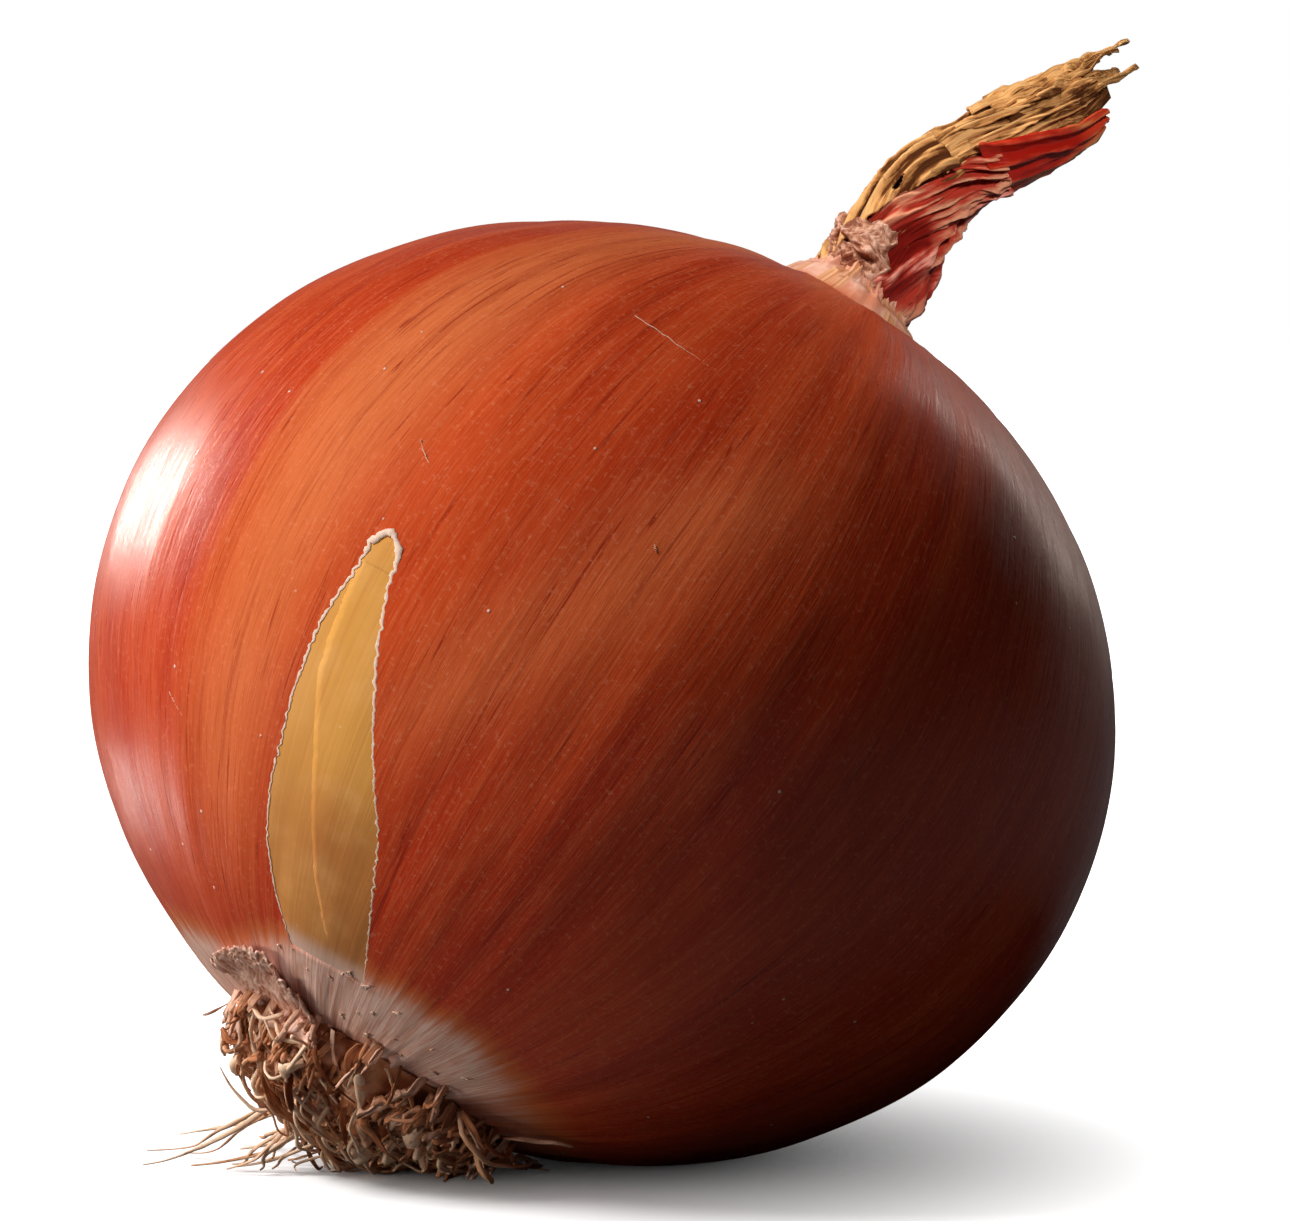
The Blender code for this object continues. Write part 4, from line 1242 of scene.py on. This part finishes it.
def plate_place(turn, share):
    """The basal plate's rough mound, which runs out onto the skin, with the plug under it."""
    reach = plate_reach(turn)
    if share > 0.5:
        away = reach * 2.0 * (1.0 - share)
        inner = smooth((away - PLATE_PLUG) / PLATE_STEP)
        return skin_point(turn, away, between(inner, -0.0007, 0.00002)), away
    away = reach * 2.0 * share
    crown = cos(pi * share)
    folds = 0.0004 * round_wobble(14.0, turn, 3.0 * away)
    x, y = away * cos(turn), away * sin(turn)
    pits = 0.0005 * wobble(60.0 * x, 60.0 * y, 0.0) + 0.00025 * wobble(160.0 * x, 160.0 * y, 4.0)
    lift = (mound(turn, away) - 0.0002) * smooth(4.0 * crown) + (folds + pits) * smooth(3.0 * crown)
    return skin_point(turn, away, lift + 0.00005), away


def make_plate():
    """The basal plate's closed rough mound."""
    def place(turn, share):
        spot, away = plate_place(turn, share)
        tone = 0.35 + 0.3 * round_wobble(6.0, turn, 20.0 * away)
        return spot, (4.0 * cos(turn), 4.0 * sin(turn), 12.0 * away), (tone, 0.5, 0.0)

    shape = Shape()
    shares = [row / PLATE_ROWS for row in range(1, PLATE_ROWS)]
    low, high = [(plate_place(0.0, end)[0], (0.0, 0.0, 0.0), (0.4, 0.5, 0.0)) for end in (0.0, 1.0)]
    shape.closed(ring_rows(PLATE_COLUMNS, shares, place), low, high)
    shape.faces = [face[::-1] for face in shape.faces]
    put("basal_plate", shape, CRUST_FINISH, "root_tuft", "roots")


def flake_place(draw, lon, away, length, width, rise):
    """A dry flake that runs from the skin up the edge of the plate and lifts off at its free end."""
    seed = draw.uniform(0.0, 99.0)
    lean = draw.uniform(-0.9, 1.1)
    tip = draw.uniform(0.15, 0.7)
    tone = draw.uniform(0.3, 0.95)

    def place(u, v):
        narrow = between(v**1.5, 1.0, tip)
        lon_here = lon + (width * narrow * (u - 0.5) + lean * length * v) / (BULB_RADIUS * sin(away))
        away_here = max(away - length * v / BULB_RADIUS, radians(5.0))
        curl = 0.00035 * (2.0 * u - 1.0) ** 2 * wobble(seed, 2.0 * v, 0.0)
        jag = 0.0006 * wobble(seed, 9.0 * u, 5.0) * v**4
        cover = (mound(lon_here, away_here) + 0.0001) * smooth(2.5 * v)
        uneven = 0.0002 * wobble(seed, 3.0 * u, 4.0 * v) * smooth(3.0 * v)
        lift = 0.00004 + cover + rise * v**1.3 + curl + uneven + jag
        return skin_point(lon_here, away_here, lift), (8.0 * u, seed, 3.0 * v), (tone, 0.5, v)

    return place


def make_crust():
    """Dry brown flakes and shreds round the edge of the basal plate."""
    shape = Shape()
    draw = Random(FLAKE_SEED)
    for _ in range(FLAKES):
        lon = draw.uniform(0.0, FULL_TURN)
        away = plate_reach(lon) + radians(draw.uniform(-3.0, 2.6))
        length = draw.uniform(0.0008, 0.0028)
        width = draw.uniform(0.0003, 0.0010)
        place = flake_place(draw, lon, away, length, width, draw.uniform(0.0, 0.0009))
        shape.grid(sheet_rows(*FLAKE_GRID, place))
    put("root_crust", shape, CRUST_FINISH, "root_tuft", "roots", FLAKE_THICKNESS)


# The dead scale's jagged outline, as (lon, away) in degrees
REMNANT_OUTLINE = in_radians((
    (190.0, 23.2), (194.0, 25.0), (200.0, 27.0), (207.6, 28.9), (213.0, 29.9), (216.4, 30.2),
    (218.7, 28.2), (221.9, 27.2), (224.8, 26.0), (227.5, 23.6), (230.0, 22.4),
), (0, 1))


def remnant_place(u, v):
    lon = between(u, REMNANT_LEFT, REMNANT_RIGHT)
    teeth = radians(0.55) * wobble(26.0 * u, 1.0, 0.0) + radians(0.35) * wobble(60.0 * u, 2.0, 0.0)
    far = along_table(REMNANT_OUTLINE, lon) + teeth
    away = between(v, radians(17.0), far)
    cell_u = 20.0 * u + 0.8 * wobble(5.0 * u, 4.0 * v, 2.0)
    cell_v = 5.5 * v + 0.8 * wobble(3.0 * u, 2.0 * v, 0.0)
    distances, _ = noise.voronoi(Vector((cell_u, cell_v, 0.5)))
    ridge = bell((distances[1] - distances[0]) / 0.22)
    strands = wobble(30.0 * u + 2.0 * wobble(4.0 * u, 3.0 * v, 1.0), 2.0 * v, 6.0)
    hug = 0.00012 + (mound(lon, away) if away < plate_reach(lon) else 0.0)
    curl = 0.0008 * smooth((v - 0.55) / 0.45)
    lift = hug + curl + 0.00016 * ridge * smooth(3.0 * v) + 0.00006 * strands
    lift += 0.00018 * wobble(7.0 * u, 3.0 * v, 3.0)
    tone = 0.45 + 0.40 * ridge + 0.10 * strands
    return skin_point(lon, away, lift), (20.0 * u, 0.0, 6.0 * v), (tone, 0.5, v)


def make_remnant():
    """The dead scale that clings beside the plate."""
    looks = (DEAD_FINISH, "scale_remnant", "dead_scale", REMNANT_SHEET)
    put_sheet("dead_scale", *REMNANT_GRID, remnant_place, *looks)


# The papery white flakes in the pale zone, as (lon, away) in degrees
FLAKE_SPOTS = (
    (226.0, 29.0), (229.0, 27.5), (231.5, 30.2), (234.0, 31.5), (237.5, 24.0), (240.5, 31.8),
    (241.5, 26.5), (244.0, 28.0), (246.0, 22.5), (248.5, 30.5), (252.0, 26.0), (256.0, 23.5),
    (260.0, 28.0), (266.0, 24.5), (272.0, 27.0), (218.5, 30.5), (222.0, 31.0), (236.0, 33.0),
)


def make_white_flakes():
    """Small papery teeth that stand off the skin in its pale root zone."""
    shape = Shape()
    draw = Random(PAPER_SEED)
    for lon_home, away_home in FLAKE_SPOTS:
        lon = radians(lon_home)
        away = radians(away_home)
        width = draw.uniform(0.0003, 0.0008)
        length = draw.uniform(0.0005, 0.0013)
        seed = draw.uniform(0.0, 99.0)

        def place(u, v):
            half = width * (1.0 - 0.8 * v) * (u - 0.5)
            lon_here = lon + (half + 0.0003 * wobble(seed, v, 0.0)) / (BULB_RADIUS * sin(away))
            away_here = away + length * v / BULB_RADIUS
            lift = -0.00003 + 0.00020 * v**1.6 + 0.00008 * wobble(seed, 3.0 * u, 3.0 * v)
            return skin_point(lon_here, away_here, lift), (6.0 * u, seed, 3.0 * v), (0.75, 0.5, v)

        shape.grid(sheet_rows(*PAPER_GRID, place))
    put("papery_flakes", shape, RIM_FINISH, "outer_skin", "copper_skin", PAPER_THICKNESS)


# The neck

CORE_COLUMNS = 80
CORE_ROWS = 110
CORE_INSET = 0.0003
CORE_TIP = 0.0005
STRAW_SEED = 19
STRAW_THICKNESS = 0.00016
NARROW_GRID = (32, 60)
FRAY_SEED = 83
FRAY_GRID = (8, 40)
FRAY_THICKNESS = 0.00020
KNOB_GRID = (90, 80)
KNOB_THICKNESS = 0.00018
LEAF_GRID = (150, 110)
TONGUE_GRID = (60, 90)
LEAF_THICKNESS = 0.00016
# How closely the grain's waves follow each other along the neck
STRAW_GRAIN = 26.0


# The hole in the straw sheet: its middle and its half lengths, as shares of the neck and turns round it
HOLE_SHARE = 0.372
HOLE_SHARE_REACH = 0.024
HOLE_TURN = radians(-132.0)
HOLE_TURN_REACH = radians(5.2)


def in_hole(share, turn):
    """How far into the hole a place lies: under 1 inside it."""
    return hypot((share - HOLE_SHARE) / HOLE_SHARE_REACH, (turn - HOLE_TURN) / HOLE_TURN_REACH)


def neck_hollow(share, turn):
    """How much the neck's upper left side lies in, below the bend."""
    along = smooth((share - 0.16) / 0.16) * smooth((0.98 - share) / 0.30)
    return 0.0018 * along * max(0.0, cos(turn + radians(208.0))) ** 1.3


def sheet_on_neck(shape, columns, rows, spans, lift, seed, tone, keep=None, frill=0.0):
    """Adds a grooved sheet on the neck, with painted shade in its grooves and painted light on its crests.

    spans(v) gives its share, left turn and right turn at v, and lift(u, v) its height.
    """

    def place(u, v):
        share, left, right = spans(v)
        share += frill * v**6 * wobble(seed, 11.0 * u, 2.0)
        turn = between(u, left, right)
        deep = in_hole(share, turn)
        if keep and deep < 1.0:
            share = HOLE_SHARE + (share - HOLE_SHARE) / max(deep, 0.05)
            turn = HOLE_TURN + (turn - HOLE_TURN) / max(deep, 0.05)
        width = (right - left) * neck_value(NECK_RADII, min(share, 1.0)) / 0.001
        crest = 0.5 - 1.7 * abs(wobble(seed, 1.0 * u * width, 1.3 * v))
        groove = crest + 0.25 - 0.9 * abs(wobble(seed + 5.0, 2.8 * u * width, 2.6 * v))
        height = lift(u, v) + 0.00040 * groove - neck_hollow(share, turn)
        spot = neck_point(share, turn, height)
        # Painted shade and light: the tone is darker in the grooves and lighter on the crests
        return spot, (u * width, seed, share * STRAW_GRAIN), (tone + 0.42 * groove, 0.5, v)

    shape.grid(sheet_rows(columns, rows, place), keep=keep)


def make_neck_core():
    """The twisted core of the neck, seen between its sheets."""

    def place(turn, share):
        lobes = between(smooth((share - 0.35) / 0.3), NECK_LOBE_DEPTH_LOW, NECK_LOBE_DEPTH)
        wave = sin(NECK_LOBES * (turn - NECK_TWIST * share))
        groove = round_wobble(7.0, turn, 3.0 * share)
        lift = neck_value(NECK_RADII, share) * lobes * wave - CORE_INSET + 0.00025 * groove
        lift -= neck_hollow(share, turn)
        spot = neck_point(share, turn, lift)
        # Painted shade: the tone is darker in the core's grooves and lighter between them
        return spot, (3.5 * turn, 1.0, STRAW_GRAIN * share), (0.25 + 0.15 * groove, 0.5, 0.0)

    shape = Shape()
    shares = [row / CORE_ROWS for row in range(CORE_ROWS + 1)]
    tip = neck_frame(1.0)[0] + neck_frame(1.0)[3] * CORE_TIP
    low, high = [(end, (0.0, 0.0, 0.0), (0.3, 0.5, 0.0)) for end in (neck_frame(0.0)[0], tip)]
    shape.closed(ring_rows(CORE_COLUMNS, shares, place), low, high)
    put("neck_core", shape, STRAW_FINISH, "straw_neck", "straw")


# The straw sheets past the first: the turn each lies at, the shares it runs from and to, its width
# and its lift, the angles in degrees
STRAW_SHEETS = in_radians((
    (-176.0, 0.40, 0.80, 46.0, 0.00055),
    (-203.0, 0.44, 0.86, 40.0, 0.00060),
    (-146.0, 0.42, 0.79, 44.0, 0.00085),
    (-120.0, 0.46, 0.92, 34.0, 0.00045),
    (-100.0, 0.52, 0.97, 32.0, 0.00040),
    (-152.0, 0.60, 0.97, 36.0, 0.00040),
    (-182.0, 0.66, 0.99, 36.0, 0.00045),
    (-230.0, 0.50, 0.93, 42.0, 0.00050),
    (-262.0, 0.45, 0.88, 44.0, 0.00055),
    (-295.0, 0.50, 0.95, 40.0, 0.00045),
    (-130.0, 0.68, 1.00, 40.0, 0.00055),
), (0, 3))


WIDE_COLUMNS = 140
WIDE_ROWS = 80


def make_straw():
    """The straw-coloured dry leaf bases: one wide sheet low on the neck and narrower ones past its bend."""
    shape = Shape()

    def wide_spans(v):
        share = between(v, 0.13, 0.50)
        return share, radians(-318.0), along_table(LEAF_BORDER, share) + radians(9.0)

    def wide_lift(u, v):
        fold = 0.00055 * wobble(3.0 * u, 1.5 * v, 8.0)
        return 0.00090 + fold + 0.0003 * smooth(u * 6.0 - 5.0)

    def wide_keep(row, column):
        for row_here in (row, row + 1):
            share, left, right = wide_spans(row_here / WIDE_ROWS)
            for column_here in (column, column + 1):
                if in_hole(share, between(column_here / WIDE_COLUMNS, left, right)) >= 1.0:
                    return True
        return False

    sheet_on_neck(shape, WIDE_COLUMNS, WIDE_ROWS, wide_spans, wide_lift, 2.0, 0.74, wide_keep)
    draw = Random(STRAW_SEED)
    for middle, start, end, width, lift in STRAW_SHEETS:
        seed = draw.uniform(0.0, 99.0)
        lean = draw.uniform(-0.12, 0.18)

        def spans(v):
            share = between(v, start, end)
            turn = middle + lean * (v - 0.5)
            half = 0.5 * width * (1.0 + 0.25 * wobble(seed, 2.0 * v, 1.0)) * between(v**3, 1.0, 0.6)
            return share, turn - half, turn + half

        def height(u, v):
            edge = abs(2.0 * u - 1.0)
            curl = 0.0005 * edge**3 * wobble(seed, 2.5 * v, 4.0)
            return lift + curl + 0.00045 * wobble(seed, 2.0 * u, 2.5 * v)

        sheet_on_neck(shape, *NARROW_GRID, spans, height, seed, draw.uniform(0.46, 0.78), None, 0.05)
    put("straw_sheets", shape, STRAW_FINISH, "straw_neck", "straw", STRAW_THICKNESS)


# The frayed ends: the share and turn (in degrees) that each starts at, its tip in the bulb's own axes
# and its width
FRAYED_ENDS = in_radians((
    (0.62, -170.0, (0.0043, -0.0035, 0.0635), 0.0013),
    (0.66, -150.0, (0.0037, -0.0044, 0.0620), 0.0011),
    (0.70, -120.0, (0.0056, -0.0047, 0.0620), 0.0012),
    (0.72, -110.0, (0.0044, -0.0045, 0.0592), 0.0013),
    (0.74, -80.0, (0.0064, -0.0040, 0.0575), 0.0012),
    (0.66, -190.0, (0.0033, -0.0030, 0.0610), 0.0014),
    (0.70, -215.0, (0.0030, -0.0021, 0.0600), 0.0014),
    (0.66, -240.0, (0.0042, -0.0014, 0.0597), 0.0013),
    (0.70, -280.0, (0.0058, -0.0012, 0.0590), 0.0012),
    (0.72, -320.0, (0.0068, -0.0024, 0.0580), 0.0011),
    (0.78, -140.0, (0.0049, -0.0037, 0.0612), 0.0008),
    (0.78, -165.0, (0.0038, -0.0027, 0.0622), 0.0007),
), (1,))


def make_frayed_ends():
    """Pointed shreds past the end of the neck."""
    shape = Shape()
    draw = Random(FRAY_SEED)
    for start, turn, tip, width in FRAYED_ENDS:
        seed = draw.uniform(0.0, 99.0)
        tone = draw.uniform(0.45, 0.8)
        base = neck_point(start, turn, 0.0001)
        end = bulb_axes(*tip)
        _, _, _, along = neck_frame(min(start + 0.1, 1.0))
        knee = base + along * ((end - base).length * 0.55)
        outward = (base - neck_frame(start)[0]).normalized()
        sideways = along.cross(outward)

        def place(u, v):
            w = 1.0 - v
            centre = base * w * w + knee * 2.0 * w * v + end * v * v
            half = 0.5 * width * (1.0 - 0.93 * v**2.2) * (1.0 + 0.35 * wobble(seed, 6.0 * v, 2.0))
            cross = 2.0 * u - 1.0
            cup = outward * (-0.00035 * cross * cross * (1.0 - v) + 0.0002 * wobble(seed, 3.0 * u, 9.0 * v))
            sway = sideways * (0.0003 * wobble(seed, 4.0 * v, 6.0) * v)
            spot = centre + sideways * (half * cross) + cup + sway
            return spot, (cross * 1.2, seed, 12.0 * v), (tone, 0.5, v)

        shape.grid(sheet_rows(*FRAY_GRID, place))
    put("frayed_ends", shape, STRAW_FINISH, "straw_neck", "straw", FRAY_THICKNESS)


def make_knob():
    """The pale crumpled lump of dead tissue low on the neck, its edge sunk into the leaf and the straw."""

    def place(u, v):
        share = between(v, 0.115, 0.262) + 0.010 * wobble(5.0 * u, 0.0, 3.0)
        turn = between(u, radians(-184.0), radians(-108.0)) + radians(6.0) * wobble(4.0 * v, 2.0, 0.0)
        dome = sin(pi * u) ** 0.6 * sin(pi * v**0.8) ** 0.5
        lobes = 1.0 - abs(wobble(3.2 * u, 2.6 * v, 2.0)) * 1.6
        fine = wobble(13.0 * u, 10.0 * v, 4.0) + 0.5 * wobble(30.0 * u, 22.0 * v, 1.0)
        slit = min(hypot((u - 0.40) / 0.12, (v - 0.62 + 0.5 * (u - 0.40)) / 0.035),
                   hypot((u - 0.64) / 0.10, (v - 0.34 + 0.4 * (u - 0.64)) / 0.030))
        cut = bell(slit)
        lift = 0.0006 + 0.00110 * dome + 0.00028 * (lobes - 0.5) + 0.00013 * fine - 0.0009 * cut
        # Painted shade and light: the tone follows the relief, dark in the slits and hollows and light on
        # the raised lobes
        tone = 0.40 + 0.30 * (lobes - 0.5) + 0.18 * fine - 0.8 * cut
        return neck_point(share, turn, lift), (4.0 * u, 3.0, 3.0 * v), (tone, 0.5, v)

    put_sheet("pale_knob", *KNOB_GRID, place, KNOB_FINISH, "straw_neck", "straw", KNOB_THICKNESS)


def crumple(u, v, seed):
    """Sharp folds that run along a leaf, with finer creases that slant across it."""
    slant = u - 0.10 * v
    first = 1.0 - 1.5 * abs(wobble(7.0 * slant, 1.3 * v, seed))
    second = 1.0 - 1.5 * abs(wobble(16.0 * slant, 2.6 * v, seed + 3.0))
    third = wobble(38.0 * slant, 9.0 * v, seed + 6.0)
    return 0.75 * (first - 0.6) + 0.42 * (second - 0.6) + 0.16 * third


def make_red_leaf():
    """The crumpled red leaf round the lower side of the neck, from inside the collar to the bend."""

    def place(u, v):
        share = between(v, 0.065, 0.635)
        share += 0.012 * wobble(9.0 * u, 0.0, 1.0) * v**4
        left = along_table(LEAF_BORDER, share) + radians(1.0)
        turn = between(u, left, radians(70.0))
        folds = crumple(u * 1.3, v * 1.5, 2.0)
        edge = smooth((0.10 - u) / 0.10)
        lift = between(smooth((share - 0.06) / 0.09), 0.0001, 0.00080 + 0.00085 * folds - 0.00040 * edge)
        lift += 0.0004 * smooth((share - 0.50) / 0.1)
        width = (radians(70.0) - left) * 3.4
        # Painted shade and light: the tone is darker in the hollows of the folds and lighter on their crests
        tone = 0.38 + 0.75 * folds
        age = 0.46 + 0.5 * smooth(0.95 - 1.1 * u + 1.3 * wobble(3.5 * u, 2.0 * v, 5.0))
        return neck_point(share, turn, lift), (u * width, 2.0, share * STRAW_GRAIN), (tone, age, v)

    looks = (LEAF_FINISH, "red_neck_leaf", "crimson_leaf", LEAF_THICKNESS)
    put_sheet("red_leaf", *LEAF_GRID, place, *looks)


def make_tongue():
    """The glossy deep red end of the leaf, past the bend."""

    def place(u, v):
        share = between(v, 0.585, 0.925) + 0.03 * wobble(7.0 * u, 0.0, 5.0) * v**4
        left = radians(-108.0) + radians(30.0) * v
        right = between(smooth(v * 2.0), radians(66.0), radians(46.0))
        turn = between(u, left, right)
        folds = crumple(u * 0.9, v * 0.8, 9.0)
        edge = abs(2.0 * u - 1.0) ** 4
        lift = 0.00105 + 0.00045 * folds + 0.0003 * edge + 0.00035 * sin(pi * v)
        width = (right - left) * 2.8
        # A painted highlight: the ridge is only a light band in the tone along a fold line, not raised; the
        # folds add painted shade in their hollows and light on their crests
        ridge = bell((u - 0.42 - 0.10 * v) / 0.05) * smooth(5.0 * v) * smooth(3.5 - 4.0 * v)
        tone = 0.34 + 0.6 * folds + 0.7 * ridge
        age = 0.5 + 0.45 * smooth(v * 3.0 - 1.6 + 0.6 * wobble(3.0 * u, 2.0 * v, 8.0))
        return neck_point(share, turn, lift), (u * width, 6.0, share * STRAW_GRAIN), (tone, age, v)

    looks = (TONGUE_FINISH, "red_neck_leaf", "crimson_leaf", LEAF_THICKNESS)
    put_sheet("glossy_leaf_end", *TONGUE_GRID, place, *looks)


# The studio

KEY_POWER = 3.4
KEY_SPREAD = radians(24.0)
KEY_WAY = (-0.67, 0.70, 0.25)
# Lamps round the bulb: name, way along the camera's right, up and back, distance, width, height, power,
# colour, and whether matt surfaces and highlights see them
LAMP_PANELS = (
    ("left_strip", (-0.67, 0.29, -0.68), 0.55, 0.05, 0.12, 1.0, (1.0, 0.97, 0.92), False, True),
    ("left_glow", (-0.884, -0.243, -0.400), 0.0894, 0.022, 0.014, 0.005, (1.0, 0.93, 0.88), False, True),
    ("right_strip", (0.54, 0.38, -0.75), 0.55, 0.07, 0.26, 0.16, (1.0, 0.80, 0.70), False, True),
    ("backdrop", (0.30, 0.20, -0.93), 0.80, 0.90, 0.50, 0.36, (1.0, 0.84, 0.76), False, True),
    ("low_fill", (-0.96, -0.03, 0.28), 0.40, 0.24, 0.06, 0.62, (1.0, 0.88, 0.76), True, False),
)
NECK_LAMP_WAY = (0.30, 0.30, 0.90)
NECK_LAMP_DISTANCE = 0.15
NECK_LAMP_SIZE = 0.02
NECK_LAMP_POWER = 0.0034
NECK_LAMP_SPREAD = radians(24.0)
NECK_LAMP_SHARE = 0.45
WORLD_COLOUR = (1.0, 0.45, 0.36, 1.0)
WORLD_STRENGTH = 0.024
FLOOR_REACH = 3.0
FLOOR_GLOW = 1.15
# How far the painted contact shadow in the floor's glow reaches, and its samples
CONTACT_SHADOW_REACH = 0.018
CONTACT_SHADOW_SAMPLES = 8


def view_axes():
    """The camera's right, up and back directions."""
    flat = cos(CAMERA_ELEVATION)
    back = Vector((sin(CAMERA_AZIMUTH) * flat, -cos(CAMERA_AZIMUTH) * flat, sin(CAMERA_ELEVATION)))
    right = Vector((cos(CAMERA_AZIMUTH), sin(CAMERA_AZIMUTH), 0.0))
    return right, back.cross(right), back


def from_viewer(right_share, up_share, back_share):
    """A direction given along the camera's own axes."""
    right, up, back = view_axes()
    return (right * right_share + up * up_share + back * back_share).normalized()


def make_camera():
    right, up, back = view_axes()
    turn = Matrix((right, up, back)).transposed()
    focal = CAMERA_LENS / CAMERA_SENSOR * IMAGE_WIDTH
    ray = Vector((
        (CENTRE_PIXEL_ACROSS - IMAGE_WIDTH / 2.0) / focal,
        -(CENTRE_PIXEL_DOWN - IMAGE_HEIGHT / 2.0) / focal,
        -1.0,
    ))
    data = bpy.data.cameras.new("camera")
    data.lens = CAMERA_LENS
    data.sensor_width = CAMERA_SENSOR
    data.sensor_fit = "HORIZONTAL"
    data.clip_start = 0.01
    camera = bpy.data.objects.new("camera", data)
    bpy.context.scene.collection.objects.link(camera)
    camera.matrix_world = Matrix.Translation(CENTRE - (turn @ ray) * CAMERA_DISTANCE) @ turn.to_4x4()
    bpy.context.scene.camera = camera


def aimed(name, data, way, distance, target):
    """A lamp at that distance in that direction, turned to its target."""
    lamp = bpy.data.objects.new(name, data)
    lamp.location = target + way * distance
    lamp.rotation_mode = "QUATERNION"
    lamp.rotation_quaternion = way.to_track_quat("Z", "Y")
    bpy.context.scene.collection.objects.link(lamp)
    return lamp


def make_lights():
    """A soft key from the upper left, strips for the highlights, a backdrop, a low fill and a neck lamp."""
    key = bpy.data.lights.new("key", "SUN")
    key.energy = KEY_POWER
    key.angle = KEY_SPREAD
    key_lamp = aimed("key", key, from_viewer(*KEY_WAY), 1.0, CENTRE)
    key_lamp.visible_glossy = False

    for name, way, distance, width, height, power, tone, diffuse, glossy in LAMP_PANELS:
        data = bpy.data.lights.new(name, "AREA")
        data.shape = "RECTANGLE"
        data.size = width
        data.size_y = height
        data.energy = power
        data.color = tone
        lamp = aimed(name, data, from_viewer(*way), distance, CENTRE)
        lamp.visible_diffuse = diffuse
        lamp.visible_glossy = glossy
        lamp.visible_camera = False

    data = bpy.data.lights.new("neck_light", "AREA")
    data.shape = "DISK"
    data.size = NECK_LAMP_SIZE
    data.energy = NECK_LAMP_POWER
    data.spread = NECK_LAMP_SPREAD
    target = neck_frame(NECK_LAMP_SHARE)[0]
    lamp = aimed("neck_light", data, from_viewer(*NECK_LAMP_WAY), NECK_LAMP_DISTANCE, target)
    lamp.visible_glossy = False
    lamp.visible_camera = False


def make_world():
    world = bpy.data.worlds.new("studio")
    world.use_nodes = True
    tree = world.node_tree
    tree.nodes.clear()
    seen = node(tree, "ShaderNodeBackground", {"Color": (1.0, 1.0, 1.0, 1.0), "Strength": 1.0})
    fill = node(tree, "ShaderNodeBackground", {"Color": WORLD_COLOUR, "Strength": WORLD_STRENGTH})
    path = node(tree, "ShaderNodeLightPath", {})
    joined = {0: path.outputs["Is Camera Ray"], 1: fill.outputs[0], 2: seen.outputs[0]}
    blend = node(tree, "ShaderNodeMixShader", joined)
    output = tree.nodes.new("ShaderNodeOutputWorld")
    tree.links.new(blend.outputs[0], output.inputs[0])
    bpy.context.scene.world = world


def make_floor():
    """A pale floor, bright to the camera and dim to the object above it, its glow darkened by ambient
    occlusion into a painted contact shadow under the onion.
    """
    mesh = bpy.data.meshes.new("floor")
    reach = FLOOR_REACH
    corners = [(-reach, -reach, 0), (reach, -reach, 0), (reach, reach, 0), (-reach, reach, 0)]
    mesh.from_pydata(corners, [], [(0, 1, 2, 3)])
    material, tree, shader = new_tree("studio_floor")
    tree.nodes.remove(shader)
    dust = grain(tree, place_of(tree), 40.0)
    bright = mix(tree, mask(tree, dust, 0.3, 0.7), colour(0.76, 0.76, 0.76), colour(0.80, 0.80, 0.80))
    lit = node(tree, "ShaderNodeBsdfDiffuse", {"Color": bright})
    # Painted contact shadow: ambient occlusion darkens the floor's glow under the onion
    corner = node(tree, "ShaderNodeAmbientOcclusion", {"Distance": CONTACT_SHADOW_REACH}, samples=CONTACT_SHADOW_SAMPLES)
    glow = node(tree, "ShaderNodeEmission", {"Color": corner.outputs["Color"], "Strength": FLOOR_GLOW})
    seen = node(tree, "ShaderNodeAddShader", {0: lit.outputs[0], 1: glow.outputs[0]})
    dim = node(tree, "ShaderNodeBsdfDiffuse", {"Color": colour(0.12, 0.12, 0.12)})
    path = node(tree, "ShaderNodeLightPath", {})
    joined = {0: path.outputs["Is Camera Ray"], 1: dim.outputs[0], 2: seen.outputs[0]}
    blend = node(tree, "ShaderNodeMixShader", joined)
    tree.links.new(blend.outputs[0], tree.nodes["Material Output"].inputs[0])
    ground = bpy.data.objects.new("studio_floor", mesh)
    ground.data.materials.append(material)
    bpy.context.scene.collection.objects.link(ground)


def set_colours():
    view = bpy.context.scene.view_settings
    view.view_transform = "Standard"
    view.look = "None"
    view.exposure = 0.0
    view.gamma = 1.0


make_skin()
make_gold()
make_inner_scale()
make_rim()
make_scratches()
make_plate()
make_roots()
make_fibres()
make_crust()
make_remnant()
make_white_flakes()
make_neck_core()
make_straw()
make_frayed_ends()
make_knob()
make_red_leaf()
make_tongue()
make_camera()
make_lights()
make_world()
make_floor()
set_colours()
